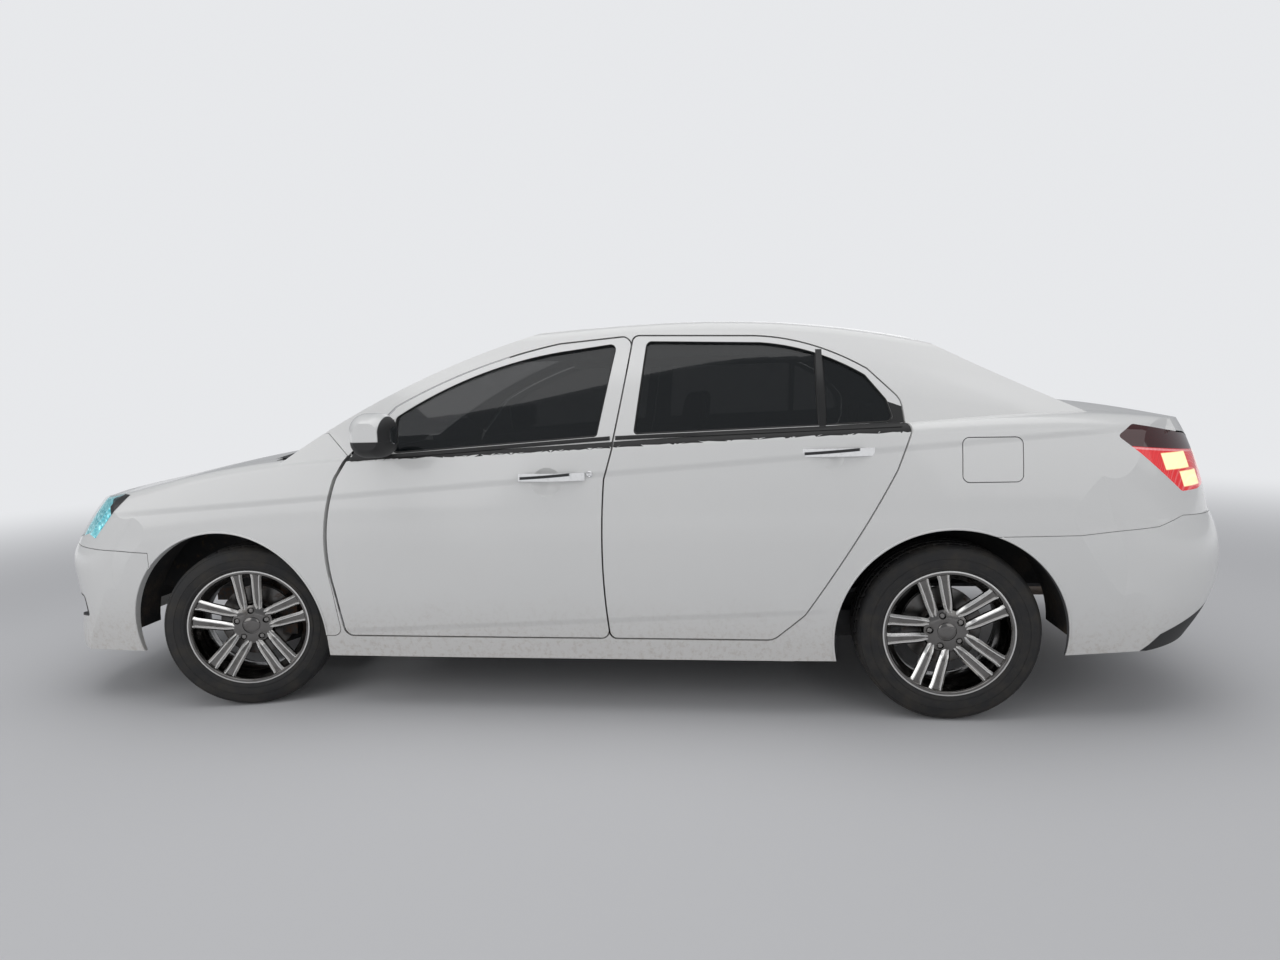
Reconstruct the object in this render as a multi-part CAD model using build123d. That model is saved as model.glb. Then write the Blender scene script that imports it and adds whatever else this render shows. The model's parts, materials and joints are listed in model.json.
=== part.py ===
from build123d import *
import math
import os

# Overall sizes, in mm. Stations run rearward from the middle of the front wings, +Y is the right side, +Z is up.
LENGTH = 4631.0
WIDTH = 1789.0
HEIGHT = 1474.0
FRONT_AXLE = -27.0
REAR_AXLE = 2650.0
OVERHANG_FRONT = 905.0
NOSE = -OVERHANG_FRONT
TAIL = LENGTH - OVERHANG_FRONT
HALF = WIDTH / 2

# Walls
SIDE_WALL = 100.0
ROOF_WALL = 36.0
FRAME_WALL = 45.0
WING_WALL = 30.0
PANEL = 22.0
GLASS = 5.0
GLASS_DEPTH = 9.0

# Gaps between panels
GAP = 6.0
SEAT_GAP = 0.3

# Wheels
TYRE_RADIUS = 318.0
TYRE_WIDTH = 214.0
TRACK_FRONT = 1502.0
TRACK_REAR = 1492.0
PARKED_STEER = 15.0
TURNED_LIFT = 0.6

# Wheel arches: station and height of the centre, and radius at the skin
ARCH_FRONT = (-50.0, 298.0, 400.0)
ARCH_REAR = (2650.0, 300.0, 396.0)
WELL_INNER_REAR = 600.0
LINER = 5.0

# Floor and belt
WIDEST_Z = 660.0
GREENHOUSE_FOOT = 850.0

# Lower body sections: station, inset of the widest line, inset and height of the sill,
# inset and height of the shoulder, height of the crown, shoulder radius
LOWER = [
    (-960, 62, 90, 215, 112, 790, 826, 40),
    (-600, 26, 70, 213, 88, 818, 866, 50),
    (-200, 8, 52, 213, 62, 905, 946, 50),
    (250, 2, 44, 213, 50, 968, 1000, 40),
    (900, 0, 40, 213, 44, 992, 1014, 36),
    (1700, 0, 40, 215, 46, 1024, 1045, 36),
    (2500, 0, 42, 222, 56, 1056, 1082, 50),
    (3000, 12, 60, 240, 76, 1072, 1122, 80),
    (3400, 40, 90, 260, 112, 1046, 1088, 100),
    (3780, 75, 130, 280, 160, 985, 1030, 100),
]

# Greenhouse sections: station, half width and height of the foot, half width and height
# of the roof rail, height of the crown, rail radius
GREENHOUSE = [
    (-120, 846, 930, 640, 1384, 1418, 60),
    (500, 846, 962, 630, 1404, 1438, 60),
    (1100, 839, 990, 618, 1420, 1448, 60),
    (1750, 836, 1000, 612, 1445, HEIGHT, 60),
    (2300, 826, 1005, 606, 1404, 1441, 60),
    (2800, 800, 1010, 590, 1301, 1347, 60),
    (3400, 760, 1010, 560, 1171, 1231, 60),
]
SIDE_BULGE = 9.0

# Centre line of the windscreen and of the rear window, as (station, height), and the radius
# of their curve in plan
WINDSCREEN = [(60, 955), (303, 1090), (542, 1232), (861, 1362), (1120, 1442)]
REAR_WINDOW = [(2540, 1440), (2740, 1318), (2994, 1196), (3152, 1122), (3300, 1050)]
SCREEN_PLAN_RADIUS = 2600.0

# Nose and tail: height and station of the centre line, with one outline in plan. Each is two lofts
# that meet at one row.
NOSE_PROFILE = [(150, -850), (262, -898), (400, -888), (540, NOSE), (610, -892), (700, -836),
                (790, -764), (875, -676), (960, -560)]
NOSE_MEET = 4
NOSE_CORNER = 365.0
NOSE_SIDE = 866.0
TAIL_PROFILE = [(150, 3560), (240, 3604), (380, 3690), (546, TAIL), (720, 3678), (850, 3644),
                (990, 3588), (1085, 3530), (1180, 3440)]
TAIL_MEET = 4
TAIL_CORNER = 488.0
TAIL_SIDE = 858.0

# Door outlines at the skin: station, height, corner radius or VIA at the middle of an arc
VIA = -1
FRONT_DOOR = [
    (430, 297, 40), (1452, 297, 30), (1436, 640, VIA), (1446, 884, 0), (1476, 1010, 60),
    (1540, 1401, 30), (1258, 1379, 0), (936, 1292, VIA), (640, 1158, 0), (474, 975, 40),
    (430, 900, 60), (388, 660, VIA), (404, 480, 0),
]
FRONT_EDGE = [
    (430, 297, 40), (2600, 297, 0), (2600, 1700, 0), (1258, 1700, 0), (1258, 1379, 0), (936, 1292, VIA), (640, 1158, 0),
    (474, 975, 40), (430, 900, 60), (388, 660, VIA), (404, 480, 0),
]
REAR_DOOR = [
    (1452, 297, 30), (2040, 297, 60), (2150, 392, 60), (2340, 686, VIA), (2462, 900, 0), (2510, 1035, 60),
    (2504, 1140, 60), (2396, 1252, 0), (2190, 1348, VIA), (1960, 1386, 0), (1540, 1401, 30),
    (1476, 1010, 60), (1446, 884, 0), (1436, 640, VIA),
]
FRONT_WINDOW = [
    (640, 986, 26), (1418, 1033, 14), (1480, 1374, 22), (1261, 1348, 0), (950, 1271, VIA), (644, 1118, 24),
]
REAR_WINDOW_SIDE = [
    (1550, 1038, 14), (2468, 1062, 22), (2448, 1140, 34), (2380, 1230, 0), (2212, 1314, VIA), (2011, 1360, 0),
    (1590, 1378, 22),
]
DOOR_RAKE = 0.33
DOOR_PLANE = HALF + 40.0
QUARTER_BAR = 2220.0
HEADER = 1052.0
BACK_HEADER = 2560.0
ROOF_EDGE = 1316.0


def side_half(z):
    """Half width of the car's side at a height, amidships."""
    if z > 1000:
        return 838.0 - 0.495 * (z - 1000)
    if z > 750:
        return HALF - 57.0 * ((z - 750) / 250) ** 1.5
    return HALF - 44.0 * ((750 - z) / 535) ** 2


def outline(rows, plane="XZ", at=0.0, rake=0.0):
    """Face with arcs and rounded corners from rows of a short table."""
    def place(row):
        a, b = row[0], row[1]
        if rake:
            a = a + rake * (DOOR_PLANE - side_half(b))
        if plane == "XZ":
            return (a, at, b)
        if plane == "YZ":
            return (at, a, b)
        return (a, b, at)

    points = [place(row) for row in rows]
    count = len(rows)
    edges = []
    i = 0
    while i < count:
        j = (i + 1) % count
        if rows[j][2] == VIA:
            k = (i + 2) % count
            edges.append(ThreePointArc(points[i], points[j], points[k]))
            i += 2
        else:
            edges.append(Line(points[i], points[j]))
            i += 1
    face = Face(Wire(edges))
    for row, point in zip(rows, points):
        if row[2] > 0:
            near = face.vertices().sort_by_distance(Vector(*point))[0]
            face = face.fillet_2d(row[2], [near])
    return face


def grown(face, amount):
    return Face(face.outer_wire().offset_2d(amount, kind=Kind.INTERSECTION))


def prism(face, direction):
    return Solid.extrude(face, Vector(*direction))


def lower_section(row, wall, top_wall, drop):
    """Full cross-section of the lower body: floor line, two side arcs a side, crown arc."""
    x, widest_in, sill_in, sill_z, shoulder_in, shoulder_z, crown_z, radius = row
    wide = HALF - widest_in - wall
    sill = HALF - sill_in - wall
    shoulder = HALF - shoulder_in - wall
    sill_z = sill_z - drop
    shoulder_z = shoulder_z - top_wall
    crown_z = crown_z - top_wall

    def middle(y, z):
        d = wide - y
        h = z - WIDEST_Z
        r = (d * d + h * h) / (2 * d)
        a = math.asin(h / r) / 2
        return (x, wide - r + r * math.cos(a), WIDEST_Z + r * math.sin(a))

    def mirrored(p):
        return (p[0], -p[1], p[2])

    low, high = middle(sill, sill_z), middle(shoulder, shoulder_z)
    edges = [
        Line((x, -sill, sill_z), (x, sill, sill_z)),
        ThreePointArc((x, sill, sill_z), low, (x, wide, WIDEST_Z)),
        ThreePointArc((x, wide, WIDEST_Z), high, (x, shoulder, shoulder_z)),
        ThreePointArc((x, shoulder, shoulder_z), (x, 0, crown_z), (x, -shoulder, shoulder_z)),
        ThreePointArc((x, -shoulder, shoulder_z), mirrored(high), (x, -wide, WIDEST_Z)),
        ThreePointArc((x, -wide, WIDEST_Z), mirrored(low), (x, -sill, sill_z)),
    ]
    face = Face(Wire(edges))
    corners = [v for v in face.vertices() if abs(v.Z - shoulder_z) < 1e-3]
    return face.fillet_2d(radius, corners).outer_wire()


def lower_body(wall=0.0, top_wall=None, drop=0.0):
    top_wall = wall if top_wall is None else top_wall
    return Solid.make_loft([lower_section(row, wall, top_wall, drop) for row in LOWER])


def greenhouse_section(row, wall, top_wall):
    x, foot, foot_z, rail, rail_z, crown_z, radius = row
    foot = foot - wall
    rail = rail - wall
    rail_z = rail_z - top_wall
    crown_z = crown_z - top_wall
    mid = ((foot + rail) / 2 + SIDE_BULGE, (foot_z + rail_z) / 2)
    edges = [
        Line((x, -foot, GREENHOUSE_FOOT), (x, foot, GREENHOUSE_FOOT)),
        Line((x, foot, GREENHOUSE_FOOT), (x, foot, foot_z)),
        ThreePointArc((x, foot, foot_z), (x, mid[0], mid[1]), (x, rail, rail_z)),
        ThreePointArc((x, rail, rail_z), (x, 0, crown_z), (x, -rail, rail_z)),
        ThreePointArc((x, -rail, rail_z), (x, -mid[0], mid[1]), (x, -foot, foot_z)),
        Line((x, -foot, foot_z), (x, -foot, GREENHOUSE_FOOT)),
    ]
    face = Face(Wire(edges))
    corners = [v for v in face.vertices() if abs(v.Z - rail_z) < 1e-3]
    return face.fillet_2d(radius, corners).outer_wire()


def screen_cutter(profile, front, inset=0.0):
    """Solid of revolution outside a windscreen's surface, curved in plan and in profile."""
    (x0, z0), (x4, z4) = profile[0], profile[-1]
    run, rise = x4 - x0, z4 - z0
    length = math.hypot(run, rise)
    normal = (-rise / length, run / length) if front else (rise / length, -run / length)
    if normal[1] < 0:
        normal = (-normal[0], -normal[1])
    line = [(x - normal[0] * inset, z - normal[1] * inset) for x, z in profile]
    axis_x = profile[0][0] + SCREEN_PLAN_RADIUS if front else profile[-1][0] - SCREEN_PLAN_RADIUS
    far = 1500.0
    p = [(x, 0, z) for x, z in line]
    edges = [
        ThreePointArc(p[0], p[2], p[4]),
    ]
    if front:
        low = GREENHOUSE_FOOT - 10
        corners = [p[4], (p[4][0] - far, 0, p[4][2]), (p[0][0] - far, 0, low), (p[0][0], 0, low), p[0]]
    else:
        corners = [p[4], (p[0][0] + far, 0, p[4][2]), (p[0][0] + far, 0, p[0][2]), p[0]]
    for a, b in zip(corners, corners[1:]):
        edges.append(Line(a, b))
    face = Face(Wire(edges))
    axis = Axis((axis_x, 0, 0), (0, 0, 1))
    turned = Solid.revolve(face, 80.0, axis)
    return turned.rotate(axis, -40.0)


def greenhouse(wall=0.0, top_wall=None):
    top_wall = wall if top_wall is None else top_wall
    solid = Solid.make_loft([greenhouse_section(row, wall, top_wall) for row in GREENHOUSE])
    solid = solid - screen_cutter(WINDSCREEN, True, top_wall)
    solid = solid - screen_cutter(REAR_WINDOW, False, top_wall)
    return solid


def plan_outline(x, z, end, corner, side, into):
    """Outline in plan of a body end: gently bowed face, two corner arcs, flared sides."""
    sign = 1.0 if end < 0 else -1.0
    bow = 18.0
    cx = x + sign * (bow + corner)
    cy = side - corner
    s = corner * math.sin(math.radians(45))
    far = x + sign * into
    edges = [
        ThreePointArc((x + sign * bow, -cy, z), (x, 0, z), (x + sign * bow, cy, z)),
        ThreePointArc((x + sign * bow, cy, z), (cx - sign * s, cy + s, z), (cx, side, z)),
        Line((cx, side, z), (far, side + 160, z)),
        Line((far, side + 160, z), (far, -side - 160, z)),
        Line((far, -side - 160, z), (cx, -side, z)),
        ThreePointArc((cx, -side, z), (cx - sign * s, -cy - s, z), (x + sign * bow, -cy, z)),
    ]
    return Wire(edges)


def body_end(zone, profile, meet, corner, side, inset=0.0):
    """The part of a zone that lies outside the nose's or the tail's surface."""
    end = profile[0][1]
    sign = 1.0 if end < 0 else -1.0
    sections = [
        plan_outline(x + sign * inset, z, end, corner, side - inset, 1500.0) for z, x in profile
    ]
    return zone - Solid.make_loft(sections[:meet + 1]) - Solid.make_loft(sections[meet:])


def body_solid(wall, top_wall, drop=0.0, end_inset=None):
    """Lower body between the nose and the tail surfaces."""
    end_inset = top_wall if end_inset is None else end_inset
    solid = lower_body(wall, top_wall, drop)
    front = block(-1300, 200, -1300, 1300, 0, NOSE_PROFILE[-1][0])
    front = body_end(front, NOSE_PROFILE, NOSE_MEET, NOSE_CORNER, NOSE_SIDE, end_inset)
    back = block(2700, 4100, -1300, 1300, 0, TAIL_PROFILE[-1][0])
    back = body_end(back, TAIL_PROFILE, TAIL_MEET, TAIL_CORNER, TAIL_SIDE, end_inset)
    return solid - front - back


def block(x0, x1, y0, y1, z0, z1):
    return Solid.make_box(x1 - x0, y1 - y0, z1 - z0, Plane((x0, y0, z0)))


def biggest(shape):
    return max(shape.solids(), key=lambda s: s.volume)


def right_of(shape):
    mirrored = [one.mirror(Plane.XZ) for one in shape.solids()]
    return mirrored[0] if len(mirrored) == 1 else Compound(children=mirrored)


def placed(shape, shift):
    solids = [one.moved(shift) for one in shape.solids()]
    return solids[0] if len(solids) == 1 else Compound(children=solids)


def across(rows, x0, x1, grow=0.0):
    face = outline(rows, plane="YZ", at=x0)
    face = grown(face, grow) if grow else face
    return prism(face, (x1 - x0, 0, 0))


def upright(rows, z0, z1, grow=0.0):
    face = outline(rows, plane="XY", at=z0)
    face = grown(face, grow) if grow else face
    return prism(face, (0, 0, z1 - z0))


def sideways(rows, y0, y1, grow=0.0):
    face = outline(rows, at=y0)
    face = grown(face, grow) if grow else face
    return prism(face, (0, y1 - y0, 0))


def raked(rows, grow):
    """Door-shaped prism whose edges run forward as they go inboard, so that the door swings clear."""
    face = grown(outline(rows, at=-DOOR_PLANE, rake=DOOR_RAKE), grow)
    depth = DOOR_PLANE - 420.0
    return prism(face, (-DOOR_RAKE * depth, depth, 0))


def disc_z(x, y, radius, z0, z1):
    return Solid.make_cylinder(radius, z1 - z0, Plane((x, y, z0)))


def disc(x, z, radius, y0, y1):
    return Solid.make_cylinder(radius, y1 - y0, Plane(origin=(x, y0, z), z_dir=(0, 1, 0)))


# Plan and side outlines of the other panels; columns as in the door outlines
BONNET = [
    (104, -716, 16), (22, 0, VIA), (104, 716, 16), (-330, 738, 0), (-500, 738, 30), (-660, 672, 0),
    (-742, 420, 60), (-800, 0, VIA), (-742, -420, 60), (-660, -672, 0), (-500, -738, 30), (-330, -738, 0),
]
WING = [
    (-760, 640, 0), (-350, 622, 0), (-350, 297, 0), (340, 297, 0), (414, 297, 30), (396, 480, 0),
    (380, 660, VIA), (422, 900, 40), (470, 982, 0), (384, 1064, 0), (-760, 1064, 0),
]
LAMP_SIDE = [(-1000, 640, 0), (-738, 664, 12), (-640, 690, 40), (-484, 842, 8), (-560, 900, 0), (-1000, 900, 0)]
LAMP_FRONT = [(-900, 640, 0), (-640, 664, 40), (-420, 712, 16), (-440, 770, 12), (-600, 800, 0), (-900, 930, 0)]
GRILLE = [(-390, 660, 30), (390, 660, 30), (430, 738, 30), (-430, 738, 30)]
INTAKE = [(-520, 290, 40), (520, 290, 40), (440, 450, 50), (-440, 450, 50)]
FOG_POCKET = [(-822, 352, 8), (-606, 304, 30), (-606, 436, 30), (-806, 434, 14)]
FOG_DEPTH = 80.0
FOG_WALL = 7.0
LID_PLAN = [
    (3112, -668, 20), (3150, 0, VIA), (3112, 668, 20), (3250, 712, 30), (3420, 706, 0), (3800, 706, 0),
    (3800, -706, 0), (3420, -706, 0), (3250, -712, 30),
]
LID_REAR = [
    (-500, 700, 20), (-520, 960, 20), (-640, 1000, 0), (-760, 1016, 0), (-760, 1200, 0), (760, 1200, 0),
    (760, 1016, 0), (640, 1000, 0), (520, 960, 20), (500, 700, 20),
]
REAR_BUMPER = [
    (2600, 668, 0), (3060, 672, 0), (3324, 694, 30), (3420, 724, 30), (3900, 690, 0), (3900, 100, 0), (2600, 100, 0),
]
TAIL_LAMP_SIDE = [(3186, 1002, 10), (3240, 1040, 20), (3420, 1006, 0), (3900, 1000, 0), (3900, 800, 0), (3420, 806, 20)]
TAIL_LAMP_REAR = [(-900, 780, 0), (-515, 830, 20), (-530, 962, 20), (-640, 1010, 0), (-900, 1100, 0)]
FUEL_FLAP = [(2678, 858, 22), (2872, 858, 22), (2876, 1004, 22), (2682, 1006, 22)]

# Chassis
KINGPIN_FOOT = (FRONT_AXLE, -690.0, 206.0)
KINGPIN_TOP = (FRONT_AXLE, -560.0, 842.0)
STRUT_FOOT = (FRONT_AXLE, -588.0, 372.0)
STRUT_DROP = 26.0
STRUT_MOUNT = 8.0
STUB_RADIUS = 24.0
BRAKE_DISC = (141.0, 24.0)
RAIL = (388.0, 448.0, 380.0, 490.0)
LINER_FRONT = (-40.0, 300.0, 425.0)
LINER_REAR = (2650.0, 300.0, 412.0)
FLOOR_Z = 232.0
FLOOR_SHEET = 14.0
TRUNK_Z = 440.0
TUNNEL_Z = 340.0

# Towing thread in the front crossbeam (station, y, height, radius, depth), the slot between the grille's bars that
# its eye goes through (lowest, highest), and jacking pads
TOW_THREAD = (-700.0, 270.0, 372.0, 8.0, 35.0)
TOW_SLOT = (360.0, 384.0)
JACK_STATIONS = (560.0, 2080.0)
JACK_Y = 800.0
JACK_Z = 203.0

# Interior
SEAT_WIDTH = 490.0
SEAT_Y = 365.0
COLUMN_FOOT = (560.0, -365.0, 690.0)
STEERING_CENTRE = (838.0, -365.0, 812.0)
STEERING_RADIUS = 186.0

# Door handles: station and height of the middle
HANDLES = {"front": (1258, 896), "rear": (2268, 966)}
HANDLE_LENGTH = 244.0


def wheel_location(front, side):
    """Place of a left wheel's centre plane, or of the right one when side is +1."""
    if front:
        return (FRONT_AXLE, side * TRACK_FRONT / 2, TYRE_RADIUS + TURNED_LIFT)
    return (REAR_AXLE, side * TRACK_REAR / 2, TYRE_RADIUS)


def ring_solid(rows):
    """Solid of revolution about the wheel's axis from (radius, offset) rows; None starts an arc's middle."""
    points = [(r, y, 0) for r, y, _ in rows]
    edges = []
    i = 0
    count = len(rows)
    while i < count:
        j = (i + 1) % count
        if rows[j][2] == VIA:
            edges.append(ThreePointArc(points[i], points[j], points[(i + 2) % count]))
            i += 2
        else:
            edges.append(Line(points[i], points[j]))
            i += 1
    face = Face(Wire(edges))
    return Solid.revolve(face, 360.0, Axis.Y)


def tyre():
    """Left tyre about the origin, outboard side towards -Y."""
    half = TYRE_WIDTH / 2
    return ring_solid([
        (216.4, -91.6, 0), (227.4, -93.6, 0), (227.4, -98.5, 0), (256, -half, VIA), (292, -100, 0), (311, -90, VIA),
        (316, -74, 0), (TYRE_RADIUS, 0, VIA), (316, 74, 0), (311, 90, VIA), (292, 100, 0), (256, half, VIA),
        (225.4, 98.5, 0), (225.4, 93.6, 0), (216.4, 91.6, 0),
    ])


def rim():
    """Left rim with its hub, ten spokes in five pairs and the brake disc."""
    barrel = ring_solid([
        (227, -99, 0), (227, -94, 0), (216, -92, 0), (214, -60, 0), (196, -44, 0), (196, 30, 0), (214, 60, 0),
        (216, 92, 0), (225, 94, 0), (225, 99, 0), (214, 99, 0), (208, 60, 0), (189, 32, 0), (189, -46, 0),
        (206, -72, 0), (212, -99, 0),
    ])
    hub = ring_solid([
        (STUB_RADIUS + SEAT_GAP, -46, 0), (0, -46, 0), (0, -74, 0), (34, -74, 0), (36, -66, 0), (80, -64, 0),
        (84, -28, 0), (STUB_RADIUS + SEAT_GAP, -28, 0),
    ])
    inner = Plane(origin=(50, -49, 0), x_dir=(0, 1, 0), z_dir=(1, 0, 0))
    outer = Plane(origin=(209, -83, 0), x_dir=(0, 1, 0), z_dir=(1, 0, 0))
    spoke = Solid.make_loft([
        (inner * Rectangle(34, 24)).face().outer_wire(), (outer * Rectangle(22, 19)).face().outer_wire(),
    ])
    wheel = barrel + hub
    for k in range(5):
        for lean in (-1, 1):
            one = spoke.rotate(Axis.Y, lean * 3.5).moved(Location((0, 0, lean * 17.0)))
            wheel = wheel + one.rotate(Axis.Y, 72.0 * k + 90)
    for k in range(5):
        hole = Solid.make_cylinder(11, 40, Plane(origin=(56, -90, 0), z_dir=(0, 1, 0)))
        wheel = wheel - hole.rotate(Axis.Y, 72.0 * k + 90)
    radius, thick = BRAKE_DISC
    disc_part = ring_solid([
        (STUB_RADIUS + 8, -27.7, 0), (78, -27.7, 0), (78, 8, 0), (radius, 8, 0), (radius, 8 + thick, 0), (70, 8 + thick, 0),
        (70, -20, 0), (STUB_RADIUS + 8, -20, 0),
    ])
    return [biggest(wheel), disc_part]


def turned_about_kingpin(shape, angle):
    foot, top = Vector(*KINGPIN_FOOT), Vector(*KINGPIN_TOP)
    return together(*[one.rotate(Axis(foot, top - foot), angle) for one in shape.solids()])


def rod(a, b, radius):
    a, b = Vector(*a), Vector(*b)
    return Solid.make_cylinder(radius, (b - a).length, Plane(origin=a, z_dir=b - a))


def knuckle():
    """Left knuckle: upright, stub axle, caliper, strut with its spring and top mount."""
    x, y, z = wheel_location(True, -1)
    foot, top = Vector(*STRUT_FOOT), Vector(*KINGPIN_TOP)
    direction = (top - foot).normalized()
    upright_block = block(x - 45, x + 45, y + 62, y + 112, KINGPIN_FOOT[2] + 14, 440)
    kingpin = (top - Vector(*KINGPIN_FOOT)).normalized()
    ball = Solid.make_cylinder(16, 20, Plane(origin=Vector(*KINGPIN_FOOT) + kingpin * 9, z_dir=kingpin))
    stub = Solid.make_cylinder(STUB_RADIUS, 112, Plane(origin=(x, y - 45, z), z_dir=(0, 1, 0)))
    caliper = block(x + 96, x + 152, y + 2, y + 74, z - 60, z + 90) - disc(x, z, BRAKE_DISC[0] + 4, y + 4, y + 36)
    bracket = block(x + 30, x + 110, y + 64, y + 76, z - 50, z + 80)
    tube = Solid.make_cylinder(26, 300, Plane(origin=foot, z_dir=direction))
    shaft = Solid.make_cylinder(11, (top - foot).length - 22, Plane(origin=foot, z_dir=direction))
    spring = Solid.make_cylinder(58, 210, Plane(origin=foot + direction * 235, z_dir=direction))
    mount = Solid.make_cylinder(60, STRUT_MOUNT, Plane(origin=top - kingpin * STRUT_DROP, z_dir=kingpin))
    clamp = block(x - 34, x + 40, y + 70, STRUT_FOOT[1] + 10, 370, 455)
    return upright_block + ball + stub + caliper + bracket + tube + shaft + spring + mount + clamp


def bearing_seat():
    """Boss under the left strut tower's roof that the strut's top bearing turns against."""
    top = Vector(*KINGPIN_TOP)
    kingpin = (top - Vector(*KINGPIN_FOOT)).normalized()
    face = top - kingpin * (STRUT_DROP - STRUT_MOUNT - SEAT_GAP)
    return Solid.make_cylinder(34, 20.5, Plane(origin=face, z_dir=kingpin))


def seat(width):
    """Seat about Y = 0 with cushion, backrest and head restraint."""
    side = outline([
        (1070, 330, 20), (1560, 300, 20), (1640, 420, 30), (1764, 990, 30), (1686, 1010, 34), (1520, 500, 50),
        (1090, 470, 50),
    ], at=-width / 2)
    body = prism(side, (0, width, 0))
    rest = prism(outline([
        (1690, 1040, 26), (1780, 1030, 26), (1800, 1180, 30), (1726, 1186, 30),
    ], at=-130), (0, 260, 0))
    posts = rod((1742, -60, 980), (1752, -60, 1060), 7) + rod((1742, 60, 980), (1752, 60, 1060), 7)
    runner = block(1120, 1540, -200, -160, FLOOR_Z + SEAT_GAP, 345) + block(1120, 1540, 160, 200, FLOOR_Z + SEAT_GAP, 345)
    return body + rest + posts + runner


def both(shape):
    """A left piece and its mirror image, as one node."""
    return together(shape, right_of(shape))


def together(*shapes):
    return Compound(children=[one for shape in shapes for one in shape.solids()])


def handle(x, z):
    """Left door handle: a bowed bar on two feet."""
    y = -side_half(z)
    half = HANDLE_LENGTH / 2
    plan = [(x - half, y - 14), (x - half, y - 1), (x - half + 26, y - 1), (x - half + 40, y - 17), (x + half - 40, y - 17),
            (x + half - 26, y - 1), (x + half, y - 1), (x + half, y - 14)]
    edges = [Line((a[0], a[1], z - 14), (b[0], b[1], z - 14)) for a, b in zip(plan, plan[1:])]
    edges.append(ThreePointArc((x + half, y - 14, z - 14), (x, y - 34, z - 14), (x - half, y - 14, z - 14)))
    return prism(Face(Wire(edges)), (0, 0, 28))


def mirror_left():
    """Left door mirror: housing lofted across the car on a foot at the door's corner."""
    rows = [(-905, 646, 1052, 70, 74), (-950, 656, 1062, 138, 140), (-1040, 660, 1064, 140, 146), (-1092, 668, 1064, 86, 92)]
    wires = []
    for y, x, z, length, height in rows:
        plane = Plane(origin=(x, y, z), x_dir=(1, 0, 0), z_dir=(0, -1, 0))
        wires.append((plane * RectangleRounded(length, height, 0.38 * length)).face().outer_wire())
    housing = Solid.make_loft(wires)
    foot = block(586, 650, -920, -780, 1002, 1032)
    return housing + foot


def liners(lining):
    """Four wheel-arch liners, each a curved sheet behind its arch."""
    solids = []
    for (x, z, radius), y0, y1 in ((LINER_FRONT, -900, -704), (LINER_REAR, -900, -WELL_INNER_REAR)):
        ring = disc(x, z, radius + LINER, y0, y1) - disc(x, z, radius, y0 - 1, y1 + 1)
        ring = ring & block(x - 600, x + 600, -1000, -400, z + 2, z + 600)
        if y1 == -WELL_INNER_REAR:
            wall = disc(x, z, radius + LINER, y1, y1 + LINER)
            ring = ring + (wall & block(x - 600, x + 600, -1000, -400, TRUNK_Z + SEAT_GAP, z + 600))
        solids.append(biggest(ring & lining))
    return together(*solids, *[right_of(one) for one in solids])


def front_suspension():
    """Subframe with the lower arms out to the kingpin's foot on each side."""
    x, y, z = KINGPIN_FOOT
    frame = block(-120, 260, -440, 440, 190, 230) + block(180, 260, -440, -395, 225, RAIL[2] - SEAT_GAP)
    frame = frame + block(180, 260, 395, 440, 225, RAIL[2] - SEAT_GAP)
    arm = prism(outline([
        (x - 20, y - 20, 14), (x + 20, y - 20, 14), (x + 190, -330, 10), (x + 130, -330, 0), (x, -560, 0),
        (x - 60, -330, 0), (x - 110, -330, 10),
    ], plane="XY", at=186), (0, 0, z - SEAT_GAP - 186))
    return frame + arm + right_of(arm)


def rear_axle():
    """Twist beam with trailing arms, springs, dampers and stub axles."""
    x, y, z = wheel_location(False, -1)
    arm = block(2230, x + 40, y + 156, y + 200, 270, 330)
    plate = block(x - 60, x + 60, y + 96, y + 160, 250, 390)
    stub = Solid.make_cylinder(STUB_RADIUS, 145, Plane(origin=(x, y - 45, z), z_dir=(0, 1, 0)))
    spring = Solid.make_cylinder(55, 94, Plane((x - 80, y + 196, 330)))
    pan = block(x - 140, x - 20, y + 140, y + 250, 318, 332)
    half = arm + plate + stub + spring + pan
    beam = block(2420, 2500, y + 160, -y - 160, 300, 360)
    return half + right_of(half) + beam


def rear_seat():
    side = outline([
        (1960, TUNNEL_Z + SEAT_GAP, 0), (2112, TUNNEL_Z + SEAT_GAP, 0), (2425, 450, 0), (2560, 975, 30), (2470, 985, 40), (2360, 530, 60), (1960, 500, 50),
    ], at=-590)
    bench = prism(side, (0, 1180, 0))
    rests = [block(2480, 2560, y - 120, y + 120, 960, 1110) for y in (-360, 0, 360)]
    for one in rests:
        bench = bench + one.fillet(24, one.edges())
    return bench


def dashboard():
    side = outline([
        (445, 930, 20), (470, 560, 40), (640, 560, 40), (700, 700, 40), (740, 880, 40), (640, 968, 50),
    ], at=-735)
    body = prism(side, (0, 1470, 0))
    foot, centre = Vector(*COLUMN_FOOT), Vector(*STEERING_CENTRE)
    axis = (centre - foot).normalized()
    plane = Plane(origin=centre - axis * 76, z_dir=axis)
    body = body - Solid.make_cylinder(80, 200, plane)
    return body + Solid.make_cylinder(30, 120, Plane(origin=centre - axis * 196, z_dir=axis))


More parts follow.
